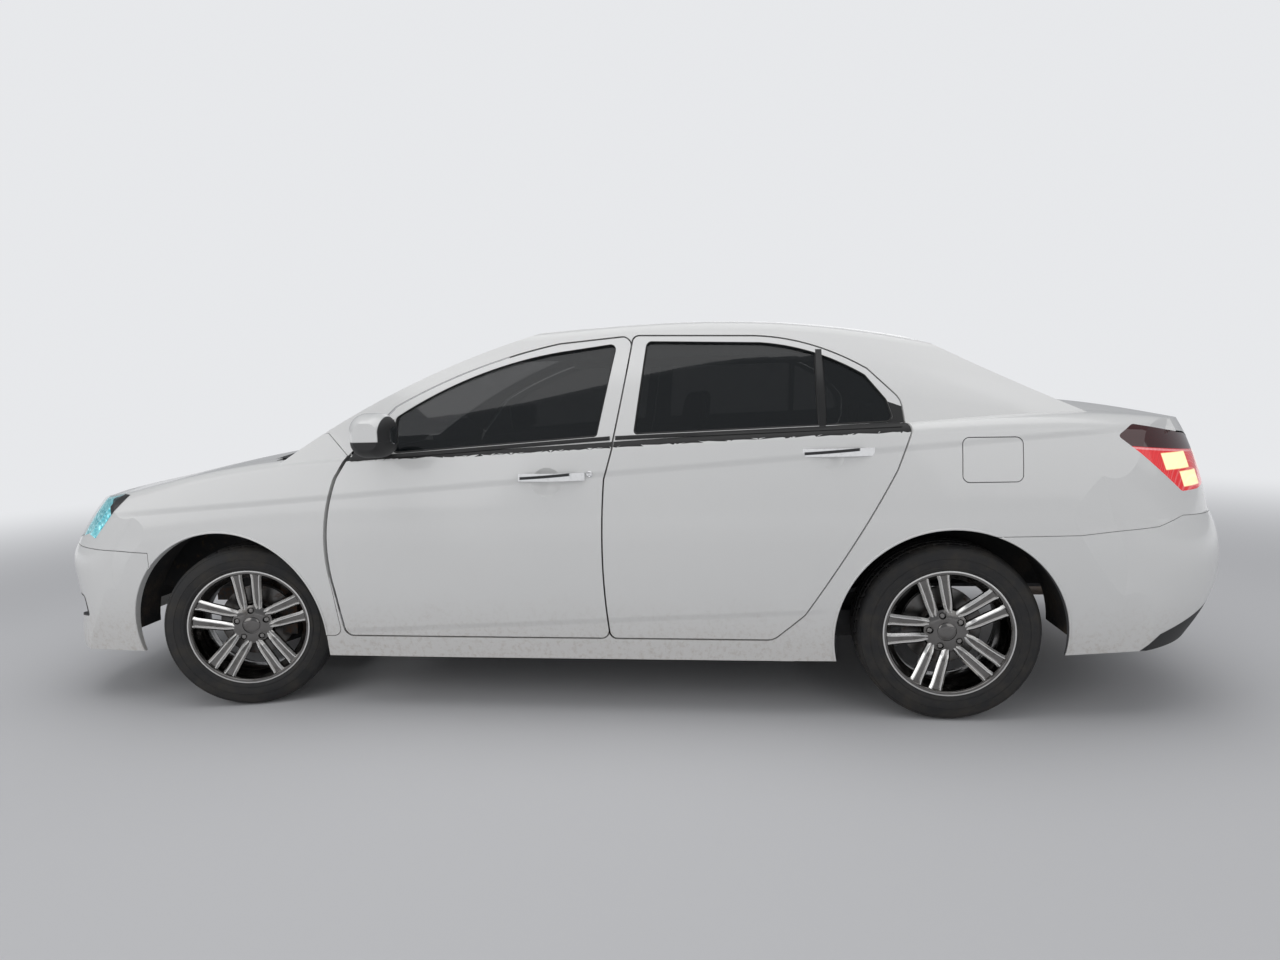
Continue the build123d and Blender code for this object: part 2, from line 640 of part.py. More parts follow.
def steering_wheel():
    foot, centre = Vector(*COLUMN_FOOT), Vector(*STEERING_CENTRE)
    axis = (centre - foot).normalized()
    plane = Plane(origin=centre, z_dir=axis)
    ring = Solid.make_torus(STEERING_RADIUS, 15, plane)
    hub = Solid.make_cylinder(58, 44, Plane(origin=centre - axis * 30, z_dir=axis))
    shaft = Solid.make_cylinder(22, 46, Plane(origin=centre - axis * 75.5, z_dir=axis))
    wheel = ring + hub + shaft
    for angle in (0, 180, 270):
        spoke = Solid.make_box(STEERING_RADIUS - 8, 34, 14, Plane((0, -17, -8)))
        wheel = wheel + spoke.rotate(Axis.Z, angle).moved(Location(plane))
    return wheel


def exhaust():
    pipe = rod((262, 0, 262), (2060, 0, 236), 26) + rod((2030, 0, 236), (3130, 250, 262), 23)
    box = block(3110, 3480, 20, 480, 220, 350)
    box = box.fillet(45, box.edges().filter_by(Axis.X))
    tail = rod((3470, 400, 246), (3630, 400, 234), 22)
    hanger = block(3200, 3220, 240, 260, 340, 426 - SEAT_GAP) + block(3380, 3400, 240, 260, 340, 426 - SEAT_GAP)
    return pipe + box + tail + hanger


def fuel_tank():
    side = outline([
        (2075, 206, 20), (2380, 206, 20), (2380, 400, 0), (2110, 306, 0), (2075, 262, 0),
    ], at=-520)
    return prism(side, (0, 1040, 0)) - block(2000, 2450, -40, 120, 100, 290)


class Skins:
    """The body's outer surface and its offsets, as solids that the panels are cut from."""

    def __init__(self):
        left = block(-1300, 4200, -1300, 0, 0, 1700)
        self.outer = body_solid(0, 0)
        self.deep = body_solid(SIDE_WALL, PANEL, 120, 100)
        self.thin = body_solid(WING_WALL, PANEL, 120, 25)
        self.pillar = body_solid(WING_WALL + 3, PANEL + 3, 120, 60)
        self.trim = body_solid(SIDE_WALL + SEAT_GAP, PANEL + SEAT_GAP, 120, 100)
        self.lining = body_solid(WING_WALL + SEAT_GAP, PANEL + SEAT_GAP, 120, 25 + SEAT_GAP)
        self.house = greenhouse()
        self.cabin = greenhouse(FRAME_WALL, ROOF_WALL)
        self.inside = greenhouse(FRAME_WALL + 1, -60)
        self.left_outer = self.outer & left
        self.left_skin = self.left_outer + (self.house & left)
        self.left_wall = (self.left_skin & block(300, 2562, -1300, 0, 0, 1700)) - self.deep - self.cabin
        self.front_sheet = (self.outer & block(-1300, 480, -1300, 1300, 0, 1300)) - self.thin
        self.rear_sheet = (self.outer & block(2700, 4100, -1300, 1300, 0, 1300)) - self.thin


def doors(k, nodes):
    bar = block(QUARTER_BAR - 11, QUARTER_BAR + 11, -1000, -500, 1000, 1400)
    pane = greenhouse(GLASS_DEPTH, GLASS_DEPTH) - greenhouse(GLASS_DEPTH + GLASS, GLASS_DEPTH + GLASS)
    hinge_edge = sideways(FRONT_EDGE, -1300, -420).moved(Location((GAP / 2 + 4, 0, 0)))
    for name, rows, window in (("front", FRONT_DOOR, FRONT_WINDOW), ("rear", REAR_DOOR, REAR_WINDOW_SIDE)):
        opening = sideways(window, -1000, -500)
        panes = pane & sideways(window, -1000, -500, grow=-SEAT_GAP)
        if name == "rear":
            opening = opening - bar
            panes = panes - bar
        x, z = HANDLES[name]
        dish = Solid.make_sphere(92, Plane((x - 20, -HALF - 56, z - 8)))
        door = (k.left_wall & raked(rows, -GAP / 2)) - opening - dish - k.inside
        if name == "front":
            door = door & hinge_edge
        nodes[name + "_door_left"] = biggest(door)
        nodes[name + "_door_glass_left"] = together(*panes.solids())
        nodes[name + "_door_handle_left"] = biggest(handle(x, z) - k.left_outer)
    nodes["mirror_left"] = biggest(mirror_left() - k.left_skin.moved(Location((0, -SEAT_GAP, 0))))


def lid_zone(grow=0.0):
    rear = grown(outline(LID_REAR, plane="YZ", at=3000), grow) if grow else outline(LID_REAR, plane="YZ", at=3000)
    return upright(LID_PLAN, 650, 1250, grow=grow) & prism(rear, (900, 0, 0))


def tail_lamp_zone():
    return sideways(TAIL_LAMP_SIDE, -1300, -300) & across(TAIL_LAMP_REAR, 3100, 3900)


def head_lamp_zone():
    return sideways(LAMP_SIDE, -1300, -300) & across(LAMP_FRONT, -1200, -300)


def fog_pocket(k):
    """Left fog lamp pocket in the front bumper: a tub with a wall all round and a back that follows the skin."""
    back = k.outer.moved(Location((FOG_DEPTH, FOG_DEPTH / 2, 0)))
    behind = k.outer.moved(Location((FOG_DEPTH + 2 * FOG_WALL, FOG_DEPTH / 2 + FOG_WALL, 0)))
    tub = (k.outer & across(FOG_POCKET, -1200, -560)) - behind
    return biggest(tub - (across(FOG_POCKET, -1300, -500, grow=-FOG_WALL) - back))


def body_shell(k, nodes):
    """Body sides with their pillars and sills, roof, screens and fuel flap."""
    screen_zone = block(-500, HEADER - 3, -900, 900, 900, 1600)
    roof_zone = block(HEADER + 3, BACK_HEADER - 3, -900, 900, ROOF_EDGE, 1600)
    back_zone = block(BACK_HEADER + 3, 3600, -900, 900, 900, 1600)
    quarter = (k.left_skin & block(2560, 4200, -1300, 0, 0, 1700)) - k.thin - k.cabin
    side = k.left_wall - raked(FRONT_DOOR, GAP / 2) - raked(REAR_DOOR, GAP / 2)
    side = side - (sideways(WING, -1300, -560, grow=GAP / 2) - k.pillar)
    side = side - block(0, 352, -1300, -500, 0, 1300) - block(340, 392, -1300, -500, 297, 960)
    side = biggest(side - disc(ARCH_FRONT[0], ARCH_FRONT[1], ARCH_FRONT[2], -1000, -560))
    quarter = quarter - sideways(REAR_BUMPER, -1300, 1300, grow=2) - lid_zone(GAP / 2) - tail_lamp_zone()
    side = side + biggest(quarter)
    side = side - disc(ARCH_REAR[0], ARCH_REAR[1], ARCH_REAR[2], -1000, -560)
    side = side - (disc(LINER_REAR[0], LINER_REAR[1], LINER_REAR[2] + LINER + SEAT_GAP, -900, -560) & k.thin)
    side = side - (k.inside & screen_zone) - (k.inside & back_zone) - (greenhouse(54, -60) & roof_zone)
    for x in JACK_STATIONS:
        side = side + block(x - 35, x + 35, -JACK_Y - 20, -JACK_Y + 20, JACK_Z, 218)
    side = biggest(side)
    nodes["body_side_right"] = right_of(side)
    nodes["body_side_left"] = biggest(side - sideways(FUEL_FLAP, -1300, -700, grow=3))
    flap = k.left_outer & sideways(FUEL_FLAP, -1300, -700)
    nodes["fuel_flap"] = biggest(flap - k.outer.moved(Location((0, 7, 0))))
    roof = (k.house & roof_zone) - k.cabin
    nodes["roof_panel"] = biggest(roof & greenhouse(56, -60))
    glazing = (greenhouse(FRAME_WALL + 1 + SEAT_GAP, -60) & greenhouse(10, 3)) - greenhouse(10, 3 + GLASS)
    nodes["windscreen"] = biggest(glazing & block(40, HEADER - 4, -900, 900, 975, 1600))
    rear = glazing & block(BACK_HEADER + 4, 3300, -900, 900, 1085, 1600)
    nodes["rear_window"] = biggest(rear - upright(LID_PLAN, 650, 1250, grow=12) - k.outer)


def outer_panels(k, nodes):
    """Front wings, bonnet, cowl, boot lid and bumpers from the thin skin."""
    bonnet_gap = upright(BONNET, 650, 1200, grow=GAP)
    lamp = head_lamp_zone()
    arch = disc(ARCH_FRONT[0], ARCH_FRONT[1], ARCH_FRONT[2], -1000, -560)
    cowl_zone = block(0, 420, -700, 700, 700, 1200)
    front = k.front_sheet
    corner = (k.left_skin & block(-1300, 480, -1300, -500, 0, 1300)) - k.thin - k.cabin
    wing = (corner & sideways(WING, -1300, -500)) - bonnet_gap - lamp - arch - cowl_zone
    wing = wing - sideways(FRONT_EDGE, -1300, -420).moved(Location((-GAP / 2, 0, 0))) - k.inside
    nodes["front_wing_left"] = biggest(wing)
    nodes["bonnet"] = biggest(front & upright(BONNET, 650, 1200))
    nodes["cowl_panel"] = biggest((front & cowl_zone) - bonnet_gap - k.house)
    lid = (k.rear_sheet & lid_zone()) - sideways(REAR_BUMPER, -1300, 1300, grow=GAP / 2)
    nodes["boot_lid"] = biggest(lid)
    nose = front & (block(-1200, -345, -1300, 1300, 150, 636) + block(-1200, -735, -1300, 1300, 600, 780))
    nose = nose - bonnet_gap - lamp - right_of(lamp) - arch - right_of(arch)
    nose = nose - sideways(WING, -1300, 1300, grow=3)
    fog = across(FOG_POCKET, -1200, -560, grow=SEAT_GAP)
    nose = nose - fog - right_of(fog)
    nodes["front_bumper"] = biggest(nose - across(GRILLE, -1200, -500) - across(INTAKE, -1200, -500))
    rear = k.rear_sheet & sideways(REAR_BUMPER, -1300, 1300)
    rear_arch = disc(ARCH_REAR[0], ARCH_REAR[1], ARCH_REAR[2], -1000, -560)
    nodes["rear_bumper"] = biggest(rear - rear_arch - right_of(rear_arch))


def lamps_and_grille(k, nodes):
    front = k.outer & block(-1200, -600, -600, 600, 280, 760)
    behind = front.moved(Location((PANEL + 4, 0, 0))) - front.moved(Location((PANEL + 24, 0, 0)))
    net = []
    for z in (672, 688, 704, 720, 320, 352, 384, 416):
        net.append(block(-1200, -500, -600, 600, z, z + 8))
    for y in (-360, -180, 0, 180, 360):
        net.append(block(-1200, -500, y - 5, y + 5, 280, 760) - block(-1200, -500, -600, 600, *TOW_SLOT))
    cut = net[0]
    for one in net[1:]:
        cut = cut + one
    middle = across(INTAKE, -1200, -500, grow=5) & block(-1200, -500, -494, 494, 200, 500)
    mouths = across(GRILLE, -1200, -500, grow=5) + across(INTAKE, -1200, -500, grow=-SEAT_GAP) + middle
    net = (behind & block(-1200, -500, -600, 600, 280, 760)) & cut & mouths
    net = net & k.thin.moved(Location((2 * SEAT_GAP, 0, 0)))
    nodes["grille"] = together(net, both(fog_pocket(k)))
    lamp = head_lamp_zone()
    corner = (k.outer & lamp) - upright(BONNET, 650, 1200, grow=GAP)
    nodes["headlamp_lenses"] = both(biggest(corner - k.outer.moved(Location((5, 4, -3)))))
    bowl = (corner & k.outer.moved(Location((6, 5, -4)))) - k.outer.moved(Location((66, 45, -24)))
    nodes["headlamps"] = both(biggest(bowl))
    tail = (k.outer & tail_lamp_zone()) - k.outer.moved(Location((-60, 40, -20)))
    nodes["tail_lamps"] = both(biggest(tail - lid_zone(GAP)))


def structure(k, nodes):
    """Floor, bulkhead, front frame, liners and the engine as one plain block."""
    floor_rows = [(436, 600), (560, FLOOR_Z), (2030, FLOOR_Z), (2110, 330), (2420, TRUNK_Z), (3620, TRUNK_Z)]
    top = [(x, 0, z) for x, z in floor_rows]
    bottom = [(x, 0, z - FLOOR_SHEET) for x, z in reversed(floor_rows)]
    profile = Face(Wire.make_polygon([Vector(*p) for p in top + bottom]))
    floor = prism(profile, (0, 1800, 0)).moved(Location((0, -900, 0)))
    floor = floor - block(400, 2100, -96, 96, 100, 326)
    tunnel = block(520, 2060, -110, 110, FLOOR_Z - FLOOR_SHEET, TUNNEL_Z) - block(400, 2200, -96, 96, 100, 326)
    floor = (floor + tunnel) & k.trim
    well = WELL_INNER_REAR - LINER - SEAT_GAP
    for y0, y1 in ((-900, -well), (well, 900)):
        floor = floor - disc(LINER_REAR[0], LINER_REAR[1], LINER_REAR[2] + LINER + SEAT_GAP, y0, y1)
    nodes["floor_pan"] = biggest(floor)
    nodes["bulkhead"] = biggest(block(424, 436 - SEAT_GAP, -900, 900, 430, 925) & k.trim)
    nodes["engine_block"] = block(-430, 170, -RAIL[0] + SEAT_GAP, RAIL[0] - SEAT_GAP, 300, 760)
    frame = block(-700, 424 - SEAT_GAP, -RAIL[1], -RAIL[0], RAIL[2], RAIL[3])
    frame = frame + block(-640, 424 - SEAT_GAP, -RAIL[1], -RAIL[1] + 4, RAIL[3], 792)
    x, y, z = KINGPIN_TOP
    tower = Solid.make_cylinder(100, 60, Plane((x, y, z - 50))) - Solid.make_cylinder(88, 54, Plane((x, y, z - 51.7)))
    frame = frame + (tower + (block(x - 100, x + 100, y + 60, -444, z - 50, z + 10) - disc_z(x, y, 88, z - 60, z + 3)))
    x, y, z, radius, depth = TOW_THREAD
    beam = block(x, x + 40, -RAIL[1], RAIL[1], 330, 640)
    beam = beam - Solid.make_cylinder(radius, depth, Plane(origin=(x, y, z), z_dir=(1, 0, 0)))
    frame = frame + bearing_seat()
    nodes["front_frame"] = frame + right_of(frame) + beam
    nodes["wheel_liners"] = liners(k.lining)


def wheels(nodes):
    for name, front in (("front", True), ("rear", False)):
        place = Location(wheel_location(front, -1))
        nodes["tyre_" + name + "_left"] = tyre().moved(place)
        nodes["rim_" + name + "_left"] = placed(together(*rim()), place)
    nodes["knuckle_left"] = knuckle()
    nodes["front_suspension"] = front_suspension()
    nodes["rear_axle"] = rear_axle()
    nodes["exhaust"] = exhaust()
    nodes["fuel_tank"] = fuel_tank()


def interior(nodes):
    nodes["front_seats"] = both(placed(seat(SEAT_WIDTH), Location((0, -SEAT_Y, 0))))
    nodes["rear_seat"] = rear_seat()
    nodes["dashboard"] = dashboard()
    nodes["steering_wheel"] = steering_wheel()


def right_hand(nodes):
    """The right side is the mirror image of the left, and the front wheels stand turned to the left."""
    for name in [n for n in nodes if n.endswith("_left")]:
        twin = name[:-4] + "right"
        if twin not in nodes:
            nodes[twin] = right_of(nodes[name])
    for name in ("knuckle", "tyre_front", "rim_front"):
        left, right = nodes[name + "_left"], nodes[name + "_right"]
        nodes[name + "_left"] = turned_about_kingpin(left, PARKED_STEER)
        nodes[name + "_right"] = right_of(turned_about_kingpin(right_of(right), -PARKED_STEER))


def main():
    os.makedirs("parts", exist_ok=True)
    nodes = {}
    skins = Skins()
    doors(skins, nodes)
    body_shell(skins, nodes)
    outer_panels(skins, nodes)
    lamps_and_grille(skins, nodes)
    structure(skins, nodes)
    wheels(nodes)
    interior(nodes)
    right_hand(nodes)
    shift = Location((OVERHANG_FRONT - LENGTH / 2, 0, 0))
    for name, piece in nodes.items():
        export_step(placed(piece, shift), "parts/" + name + ".step")


if __name__ == "__main__":
    main()
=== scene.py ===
import bpy
import json
import math
from mathutils import Matrix, Vector


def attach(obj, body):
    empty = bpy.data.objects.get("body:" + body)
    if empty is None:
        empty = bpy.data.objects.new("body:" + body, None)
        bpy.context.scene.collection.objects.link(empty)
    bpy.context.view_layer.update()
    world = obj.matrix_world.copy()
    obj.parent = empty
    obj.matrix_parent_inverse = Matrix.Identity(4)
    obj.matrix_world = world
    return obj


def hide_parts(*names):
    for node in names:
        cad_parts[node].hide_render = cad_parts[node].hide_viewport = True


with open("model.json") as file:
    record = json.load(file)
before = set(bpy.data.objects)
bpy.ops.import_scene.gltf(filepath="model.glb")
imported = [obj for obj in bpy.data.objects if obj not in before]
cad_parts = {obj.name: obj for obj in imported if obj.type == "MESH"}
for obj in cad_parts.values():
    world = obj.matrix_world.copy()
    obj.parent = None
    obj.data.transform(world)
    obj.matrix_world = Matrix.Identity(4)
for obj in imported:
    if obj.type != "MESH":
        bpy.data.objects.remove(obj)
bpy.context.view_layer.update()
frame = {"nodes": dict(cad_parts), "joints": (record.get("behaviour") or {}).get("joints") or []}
solids = frame["nodes"]

# Camera: it stands to the left of the car, level with the middle of the rear door, and looks a little
# forward and down, as in the photograph. The lens takes in the whole car with a wide angle.
yaw, pitch, roll = math.radians(-6.95), math.radians(-6.67), math.radians(-1.58)
ahead = Vector((math.sin(yaw) * math.cos(pitch), math.cos(yaw) * math.cos(pitch), math.sin(pitch)))
level = Vector((math.cos(yaw), -math.sin(yaw), 0))
over = level.cross(ahead)
camera_right = level * math.cos(roll) + over * math.sin(roll)
camera_up = over * math.cos(roll) - level * math.sin(roll)
camera = bpy.data.objects.new("camera", bpy.data.cameras.new("camera"))
bpy.context.scene.collection.objects.link(camera)
turn = Matrix((camera_right, camera_up, -ahead)).transposed().to_4x4()
camera_place = Vector((0.5025, -3.624, 1.204))
camera.matrix_world = Matrix.Translation(camera_place) @ turn
camera.data.sensor_width = 36.0
camera.data.lens = 22.11
camera.data.clip_end = 200.0
bpy.context.scene.camera = camera
bpy.context.scene.view_settings.view_transform = "Standard"

# Studio: a pale plain floor that runs out of sight into evenly lit air. One broad soft lamp hangs over the
# car, one stands on each side of the camera, and one lights the car's far side.


class Share:
    """A number or colour inside a material. Arithmetic on it adds Math nodes."""

    def __init__(self, finish, socket):
        self.finish = finish
        self.socket = socket

    def joined(self, operation, first, second=0.0):
        return self.finish.node("ShaderNodeMath", {"operation": operation}, {0: first, 1: second})

    def __add__(self, other):
        return self.joined("ADD", self, other)

    def __radd__(self, other):
        return self.joined("ADD", other, self)

    def __sub__(self, other):
        return self.joined("SUBTRACT", self, other)

    def __rsub__(self, other):
        return self.joined("SUBTRACT", other, self)

    def __mul__(self, other):
        return self.joined("MULTIPLY", self, other)

    def __rmul__(self, other):
        return self.joined("MULTIPLY", other, self)

    def sine(self):
        return self.joined("SINE", self)

    def size(self):
        return self.joined("ABSOLUTE", self)

    def least(self, other):
        return self.joined("MINIMUM", self, other)

    def most(self, other):
        return self.joined("MAXIMUM", self, other)

    def over(self, low, high):
        """0 below low, 1 above high, with a smooth step between."""
        return self.finish.node("ShaderNodeMapRange", {"interpolation_type": "SMOOTHSTEP"},
                                {"Value": self, "From Min": low, "From Max": high})

    def within(self, low, high, soft):
        """1 between low and high, with soft edges."""
        return self.over(low - soft, low + soft) * (1 - self.over(high - soft, high + soft))


class Finish:
    """A material. One method makes every node, from its type, its settings and its inputs."""

    def __init__(self, name, colour, roughness, **extra):
        self.material = bpy.data.materials.new(name)
        self.material.use_nodes = True
        self.tree = self.material.node_tree
        self.shader = self.tree.nodes["Principled BSDF"]
        self.give("Base Color", colour)
        self.give("Roughness", roughness)
        for key, value in extra.items():
            self.give(key.replace("_", " "), value)

    def node(self, kind, settings, inputs, output=0):
        made = self.tree.nodes.new(kind)
        for key, value in settings.items():
            setattr(made, key, value)
        for key, value in inputs.items():
            if isinstance(value, Share):
                self.tree.links.new(value.socket, made.inputs[key])
            else:
                made.inputs[key].default_value = value
        return Share(self, made.outputs[output])

    def give(self, name, value):
        if isinstance(value, Share):
            self.tree.links.new(value.socket, self.shader.inputs[name])
        elif isinstance(value, (tuple, list)):
            self.shader.inputs[name].default_value = (value[0], value[1], value[2], 1)
        else:
            self.shader.inputs[name].default_value = value

    def place(self):
        return self.node("ShaderNodeTexCoord", {}, {}, "Object")

    def axes(self):
        spot = self.place()
        return [self.node("ShaderNodeSeparateXYZ", {}, {0: spot}, k) for k in range(3)]

    def noise(self, scale, detail=3.0, rough=0.5):
        inputs = {"Vector": self.place(), "Scale": scale, "Detail": detail, "Roughness": rough}
        return self.node("ShaderNodeTexNoise", {}, inputs)

    def grains(self, scale, feature="F1"):
        inputs = {"Vector": self.place(), "Scale": scale}
        return self.node("ShaderNodeTexVoronoi", {"feature": feature}, inputs)

    def mixed(self, share, first, second):
        def full(shade):
            return shade if isinstance(shade, Share) else (shade[0], shade[1], shade[2], 1)
        inputs = {0: share, 6: full(first), 7: full(second)}
        return self.node("ShaderNodeMix", {"data_type": "RGBA"}, inputs, 2)

    def relief(self, height, distance):
        """Raises the surface, in the light only, by a share of a distance in metres."""
        inputs = {"Height": height, "Distance": distance, "Strength": 1.0}
        self.give("Normal", self.node("ShaderNodeBump", {}, inputs))


def wear(piece, *finishes):
    """Gives a piece its materials; the first covers it all."""
    piece.data.materials.clear()
    for finish in finishes:
        piece.data.materials.append(finish.material)


bpy.ops.object.select_all(action="DESELECT")
bpy.ops.mesh.primitive_grid_add(x_subdivisions=4, y_subdivisions=4, size=60, location=(0, 0, 0))
floor = bpy.context.object
floor.name = "studio_floor"
AIR_COLOUR = (0.80, 0.81, 0.83, 1)
ground = Finish("studio_ground", (0.62, 0.62, 0.63), 0.85)
x, y, z = ground.axes()
squared = x * x + y * y
far = squared.joined("SQRT", squared).over(3.6, 9.0)
glow = ground.node("ShaderNodeEmission", {}, {"Color": AIR_COLOUR})
mix = ground.tree.nodes.new("ShaderNodeMixShader")
ground.tree.links.new(far.socket, mix.inputs[0])
ground.tree.links.new(ground.shader.outputs[0], mix.inputs[1])
ground.tree.links.new(glow.socket, mix.inputs[2])
ground.tree.links.new(mix.outputs[0], ground.tree.nodes["Material Output"].inputs[0])
wear(floor, ground)
world = bpy.data.worlds.new("studio_air")
bpy.context.scene.world = world
world.use_nodes = True
air = world.node_tree
seen = air.nodes.new("ShaderNodeLightPath")
clear = air.nodes.new("ShaderNodeBackground")
clear.inputs[0].default_value = AIR_COLOUR
clear.inputs[1].default_value = 1.0
dim = air.nodes["Background"]
dim.inputs[0].default_value = (0.80, 0.82, 0.86, 1)
dim.inputs[1].default_value = 0.42
both = air.nodes.new("ShaderNodeMixShader")
either = air.nodes.new("ShaderNodeMath")
either.operation = "MAXIMUM"
air.links.new(seen.outputs["Is Camera Ray"], either.inputs[0])
air.links.new(seen.outputs["Is Transmission Ray"], either.inputs[1])
air.links.new(either.outputs[0], both.inputs[0])
air.links.new(dim.outputs[0], both.inputs[1])
air.links.new(clear.outputs[0], both.inputs[2])
air.links.new(both.outputs[0], air.nodes["World Output"].inputs[0])
# each lamp's name, place, aim, width in metres and watts
for name, place, aim, size, watts in (
    ("lamp_over", (0.2, -0.6, 5.2), (0, 0, 0.6), 7.5, 118),
    ("lamp_left", (-4.6, -5.0, 3.0), (-0.4, 0, 0.6), 6.5, 92),
    ("lamp_right", (5.0, -4.6, 3.0), (0.6, 0, 0.6), 6.5, 60),
    ("lamp_behind", (0.5, 5.5, 3.2), (0, 0, 0.7), 6.0, 55),
):
    lamp = bpy.data.objects.new(name, bpy.data.lights.new(name, "AREA"))
    lamp.data.shape = "RECTANGLE"
    lamp.data.size = size
    lamp.data.size_y = size * 0.6
    lamp.data.energy = watts
    lamp.location = place
    lamp.rotation_euler = (Vector(aim) - Vector(place)).to_track_quat("-Z", "Y").to_euler()
    bpy.context.scene.collection.objects.link(lamp)

# Body panels: pressed steel sheet in white gloss paint under a clear coat, faintly wavy as sprayed paint
# is, with brown road dirt low down. The pressed creases in the sides show as soft steps in the light. A
# black bar divides the rear doors' windows.
CREASE_RISE = 0.0693
paint = Finish("white_paint", (0.74, 0.74, 0.73), 0.32, Coat_Weight=0.7, Coat_Roughness=0.09)
x, y, z = paint.axes()
rise = z - CREASE_RISE * x
side = y.size().over(0.66, 0.74)
shoulder_crease = rise.over(0.886, 0.914) * x.within(-1.95, 2.0, 0.25) * side
foot_crease = (z - 0.05 * x).over(0.352, 0.378) * x.within(-0.98, 0.80, 0.06) * side
orange_peel = paint.noise(160.0, 2.0) * 0.02
paint.relief(shoulder_crease + 0.7 * foot_crease + orange_peel, 0.006)
divider = x.within(0.7980, 0.8210, 0.0004) * z.within(1.0505, 1.3275, 0.0005)
divider = divider * (y.size() - 0.78 + 0.5 * (z - 1.05)).over(-0.1, -0.05)
splash = (0.43 - z + 0.16 * paint.noise(7.0, 5.0, 0.6)).over(0.02, 0.30)
speck = paint.noise(55.0, 4.0, 0.7).over(0.45, 0.72)
dirt = splash * (0.14 + 0.30 * speck)
tint = paint.mixed(paint.noise(1.4, 2.0), (0.73, 0.73, 0.72), (0.765, 0.762, 0.75))
DIRT_COLOUR = (0.36, 0.29, 0.22)
soiled = paint.mixed(dirt, tint, DIRT_COLOUR)
paint.give("Base Color", paint.mixed(divider, soiled, (0.012, 0.012, 0.012)))
paint.give("Roughness", 0.28 + 0.35 * dirt + 0.04 * speck)
paint.give("Coat Weight", 0.7 - 0.6 * divider)
sealed = Finish("sealed_inside", (0.10, 0.10, 0.105), 0.7)
sealed.relief(sealed.noise(420.0, 3.0), 0.0008)
headlining = Finish("grey_headlining", (0.42, 0.42, 0.41), 0.9)
headlining.relief(headlining.noise(900.0, 2.0), 0.0008)
seal_rubber = Finish("black_seal_rubber", (0.012, 0.012, 0.012), 0.6)
seal_rubber.relief(seal_rubber.noise(500.0, 2.0), 0.0003)
panels = ["bonnet", "boot_lid", "front_bumper", "roof_panel", "fuel_flap"]
for word in ("left", "right"):
    panels += [start + word for start in ("body_side_", "front_wing_", "front_door_", "rear_door_")]
for name in panels:
    panel = solids[name]
    wear(panel, paint, sealed, headlining, seal_rubber)
    left = name.endswith("_left")
    for face in panel.data.polygons:
        into = face.normal.y if left else -face.normal.y
        under_pane = face.normal.z > 0.45 and 0.93 < face.center.z < 1.12
        if "_door_" in name and under_pane:
            face.material_index = 3
        elif name.endswith(("_left", "_right")):
            face.material_index = 1 if into > 0.35 else 0
        elif name == "roof_panel":
            face.material_index = 2 if face.normal.z < -0.3 else 0
        elif name in ("bonnet", "boot_lid"):
            face.material_index = 1 if face.normal.z < -0.25 else 0

# Black plastic: the cowl, the grille's nets and the wheel-arch liners are moulded with a fine grain and
# clipped to the body. The liners carry dried mud.
plastic = Finish("grained_black_plastic", (0.022, 0.022, 0.023), 0.55)
plastic.relief(plastic.grains(900.0), 0.0004)
liner = Finish("muddy_liner_plastic", (0.02, 0.02, 0.02), 0.85)
x, y, z = liner.axes()
mud = liner.noise(9.0, 6.0, 0.65).over(0.42, 0.72) * (0.75 - z).over(0.0, 0.5)
liner.give("Base Color", liner.mixed(mud, (0.016, 0.016, 0.017), (0.085, 0.062, 0.042)))
liner.relief(liner.noise(130.0, 4.0), 0.0015)
for name in ("cowl_panel", "grille"):
    wear(solids[name], plastic)
wear(solids["wheel_liners"], liner)

# Glass: tempered panes in the doors and at the rear, and a laminated windscreen that is bonded to the body.
# The doors' panes and the rear window are dark tinted, the windscreen only faintly.
tinted = Finish("dark_tinted_glass", (0.006, 0.008, 0.009), 0.02, Alpha=0.72, Coat_Weight=0.3)
screen = Finish("clear_screen_glass", (0.02, 0.026, 0.026), 0.02, Alpha=0.3)
for name in solids:
    if "_door_glass_" in name or name == "rear_window":
        wear(solids[name], tinted)
wear(solids["windscreen"], screen)

# Chassis: black painted subframe, arms and beam, cast knuckles and a sealed grey bulkhead, all a little
# rusty. The exhaust is dull and heat-stained, the tank is moulded in black plastic, and one cast block
# stands for the engine.
chassis = Finish("black_chassis_paint", (0.02, 0.02, 0.02), 0.5)
chipped = chassis.noise(30.0, 5.0, 0.7).over(0.55, 0.75)
chassis.give("Base Color", chassis.mixed(chipped, (0.02, 0.02, 0.021), (0.10, 0.06, 0.035)))
chassis.relief(chassis.noise(200.0, 3.0), 0.0006)
cast = Finish("rough_cast_iron", (0.1, 0.1, 0.1), 0.7, Metallic=0.6)
rusted = cast.noise(45.0, 6.0, 0.7).over(0.4, 0.7)
cast.give("Base Color", cast.mixed(rusted, (0.09, 0.09, 0.09), (0.17, 0.09, 0.05)))
cast.relief(cast.grains(500.0), 0.0006)
sealer = Finish("sealed_underbody", (0.12, 0.12, 0.125), 0.8)
sealer.relief(sealer.noise(90.0, 4.0), 0.0015)
piping = Finish("stained_exhaust_steel", (0.3, 0.27, 0.24), 0.45, Metallic=0.9)
piping.give("Base Color", piping.mixed(piping.noise(12.0, 5.0, 0.6), (0.36, 0.33, 0.30), (0.20, 0.13, 0.09)))
tank_plastic = Finish("smooth_tank_plastic", (0.03, 0.03, 0.03), 0.6)
tank_plastic.relief(tank_plastic.noise(60.0), 0.001)
for names, finish in (
    (("front_suspension", "rear_axle", "front_frame"), chassis),
    (("knuckle_left", "knuckle_right", "engine_block"), cast),
    (("bulkhead",), sealer),
    (("exhaust",), piping),
    (("fuel_tank",), tank_plastic),
):
    for name in names:
        wear(solids[name], finish)

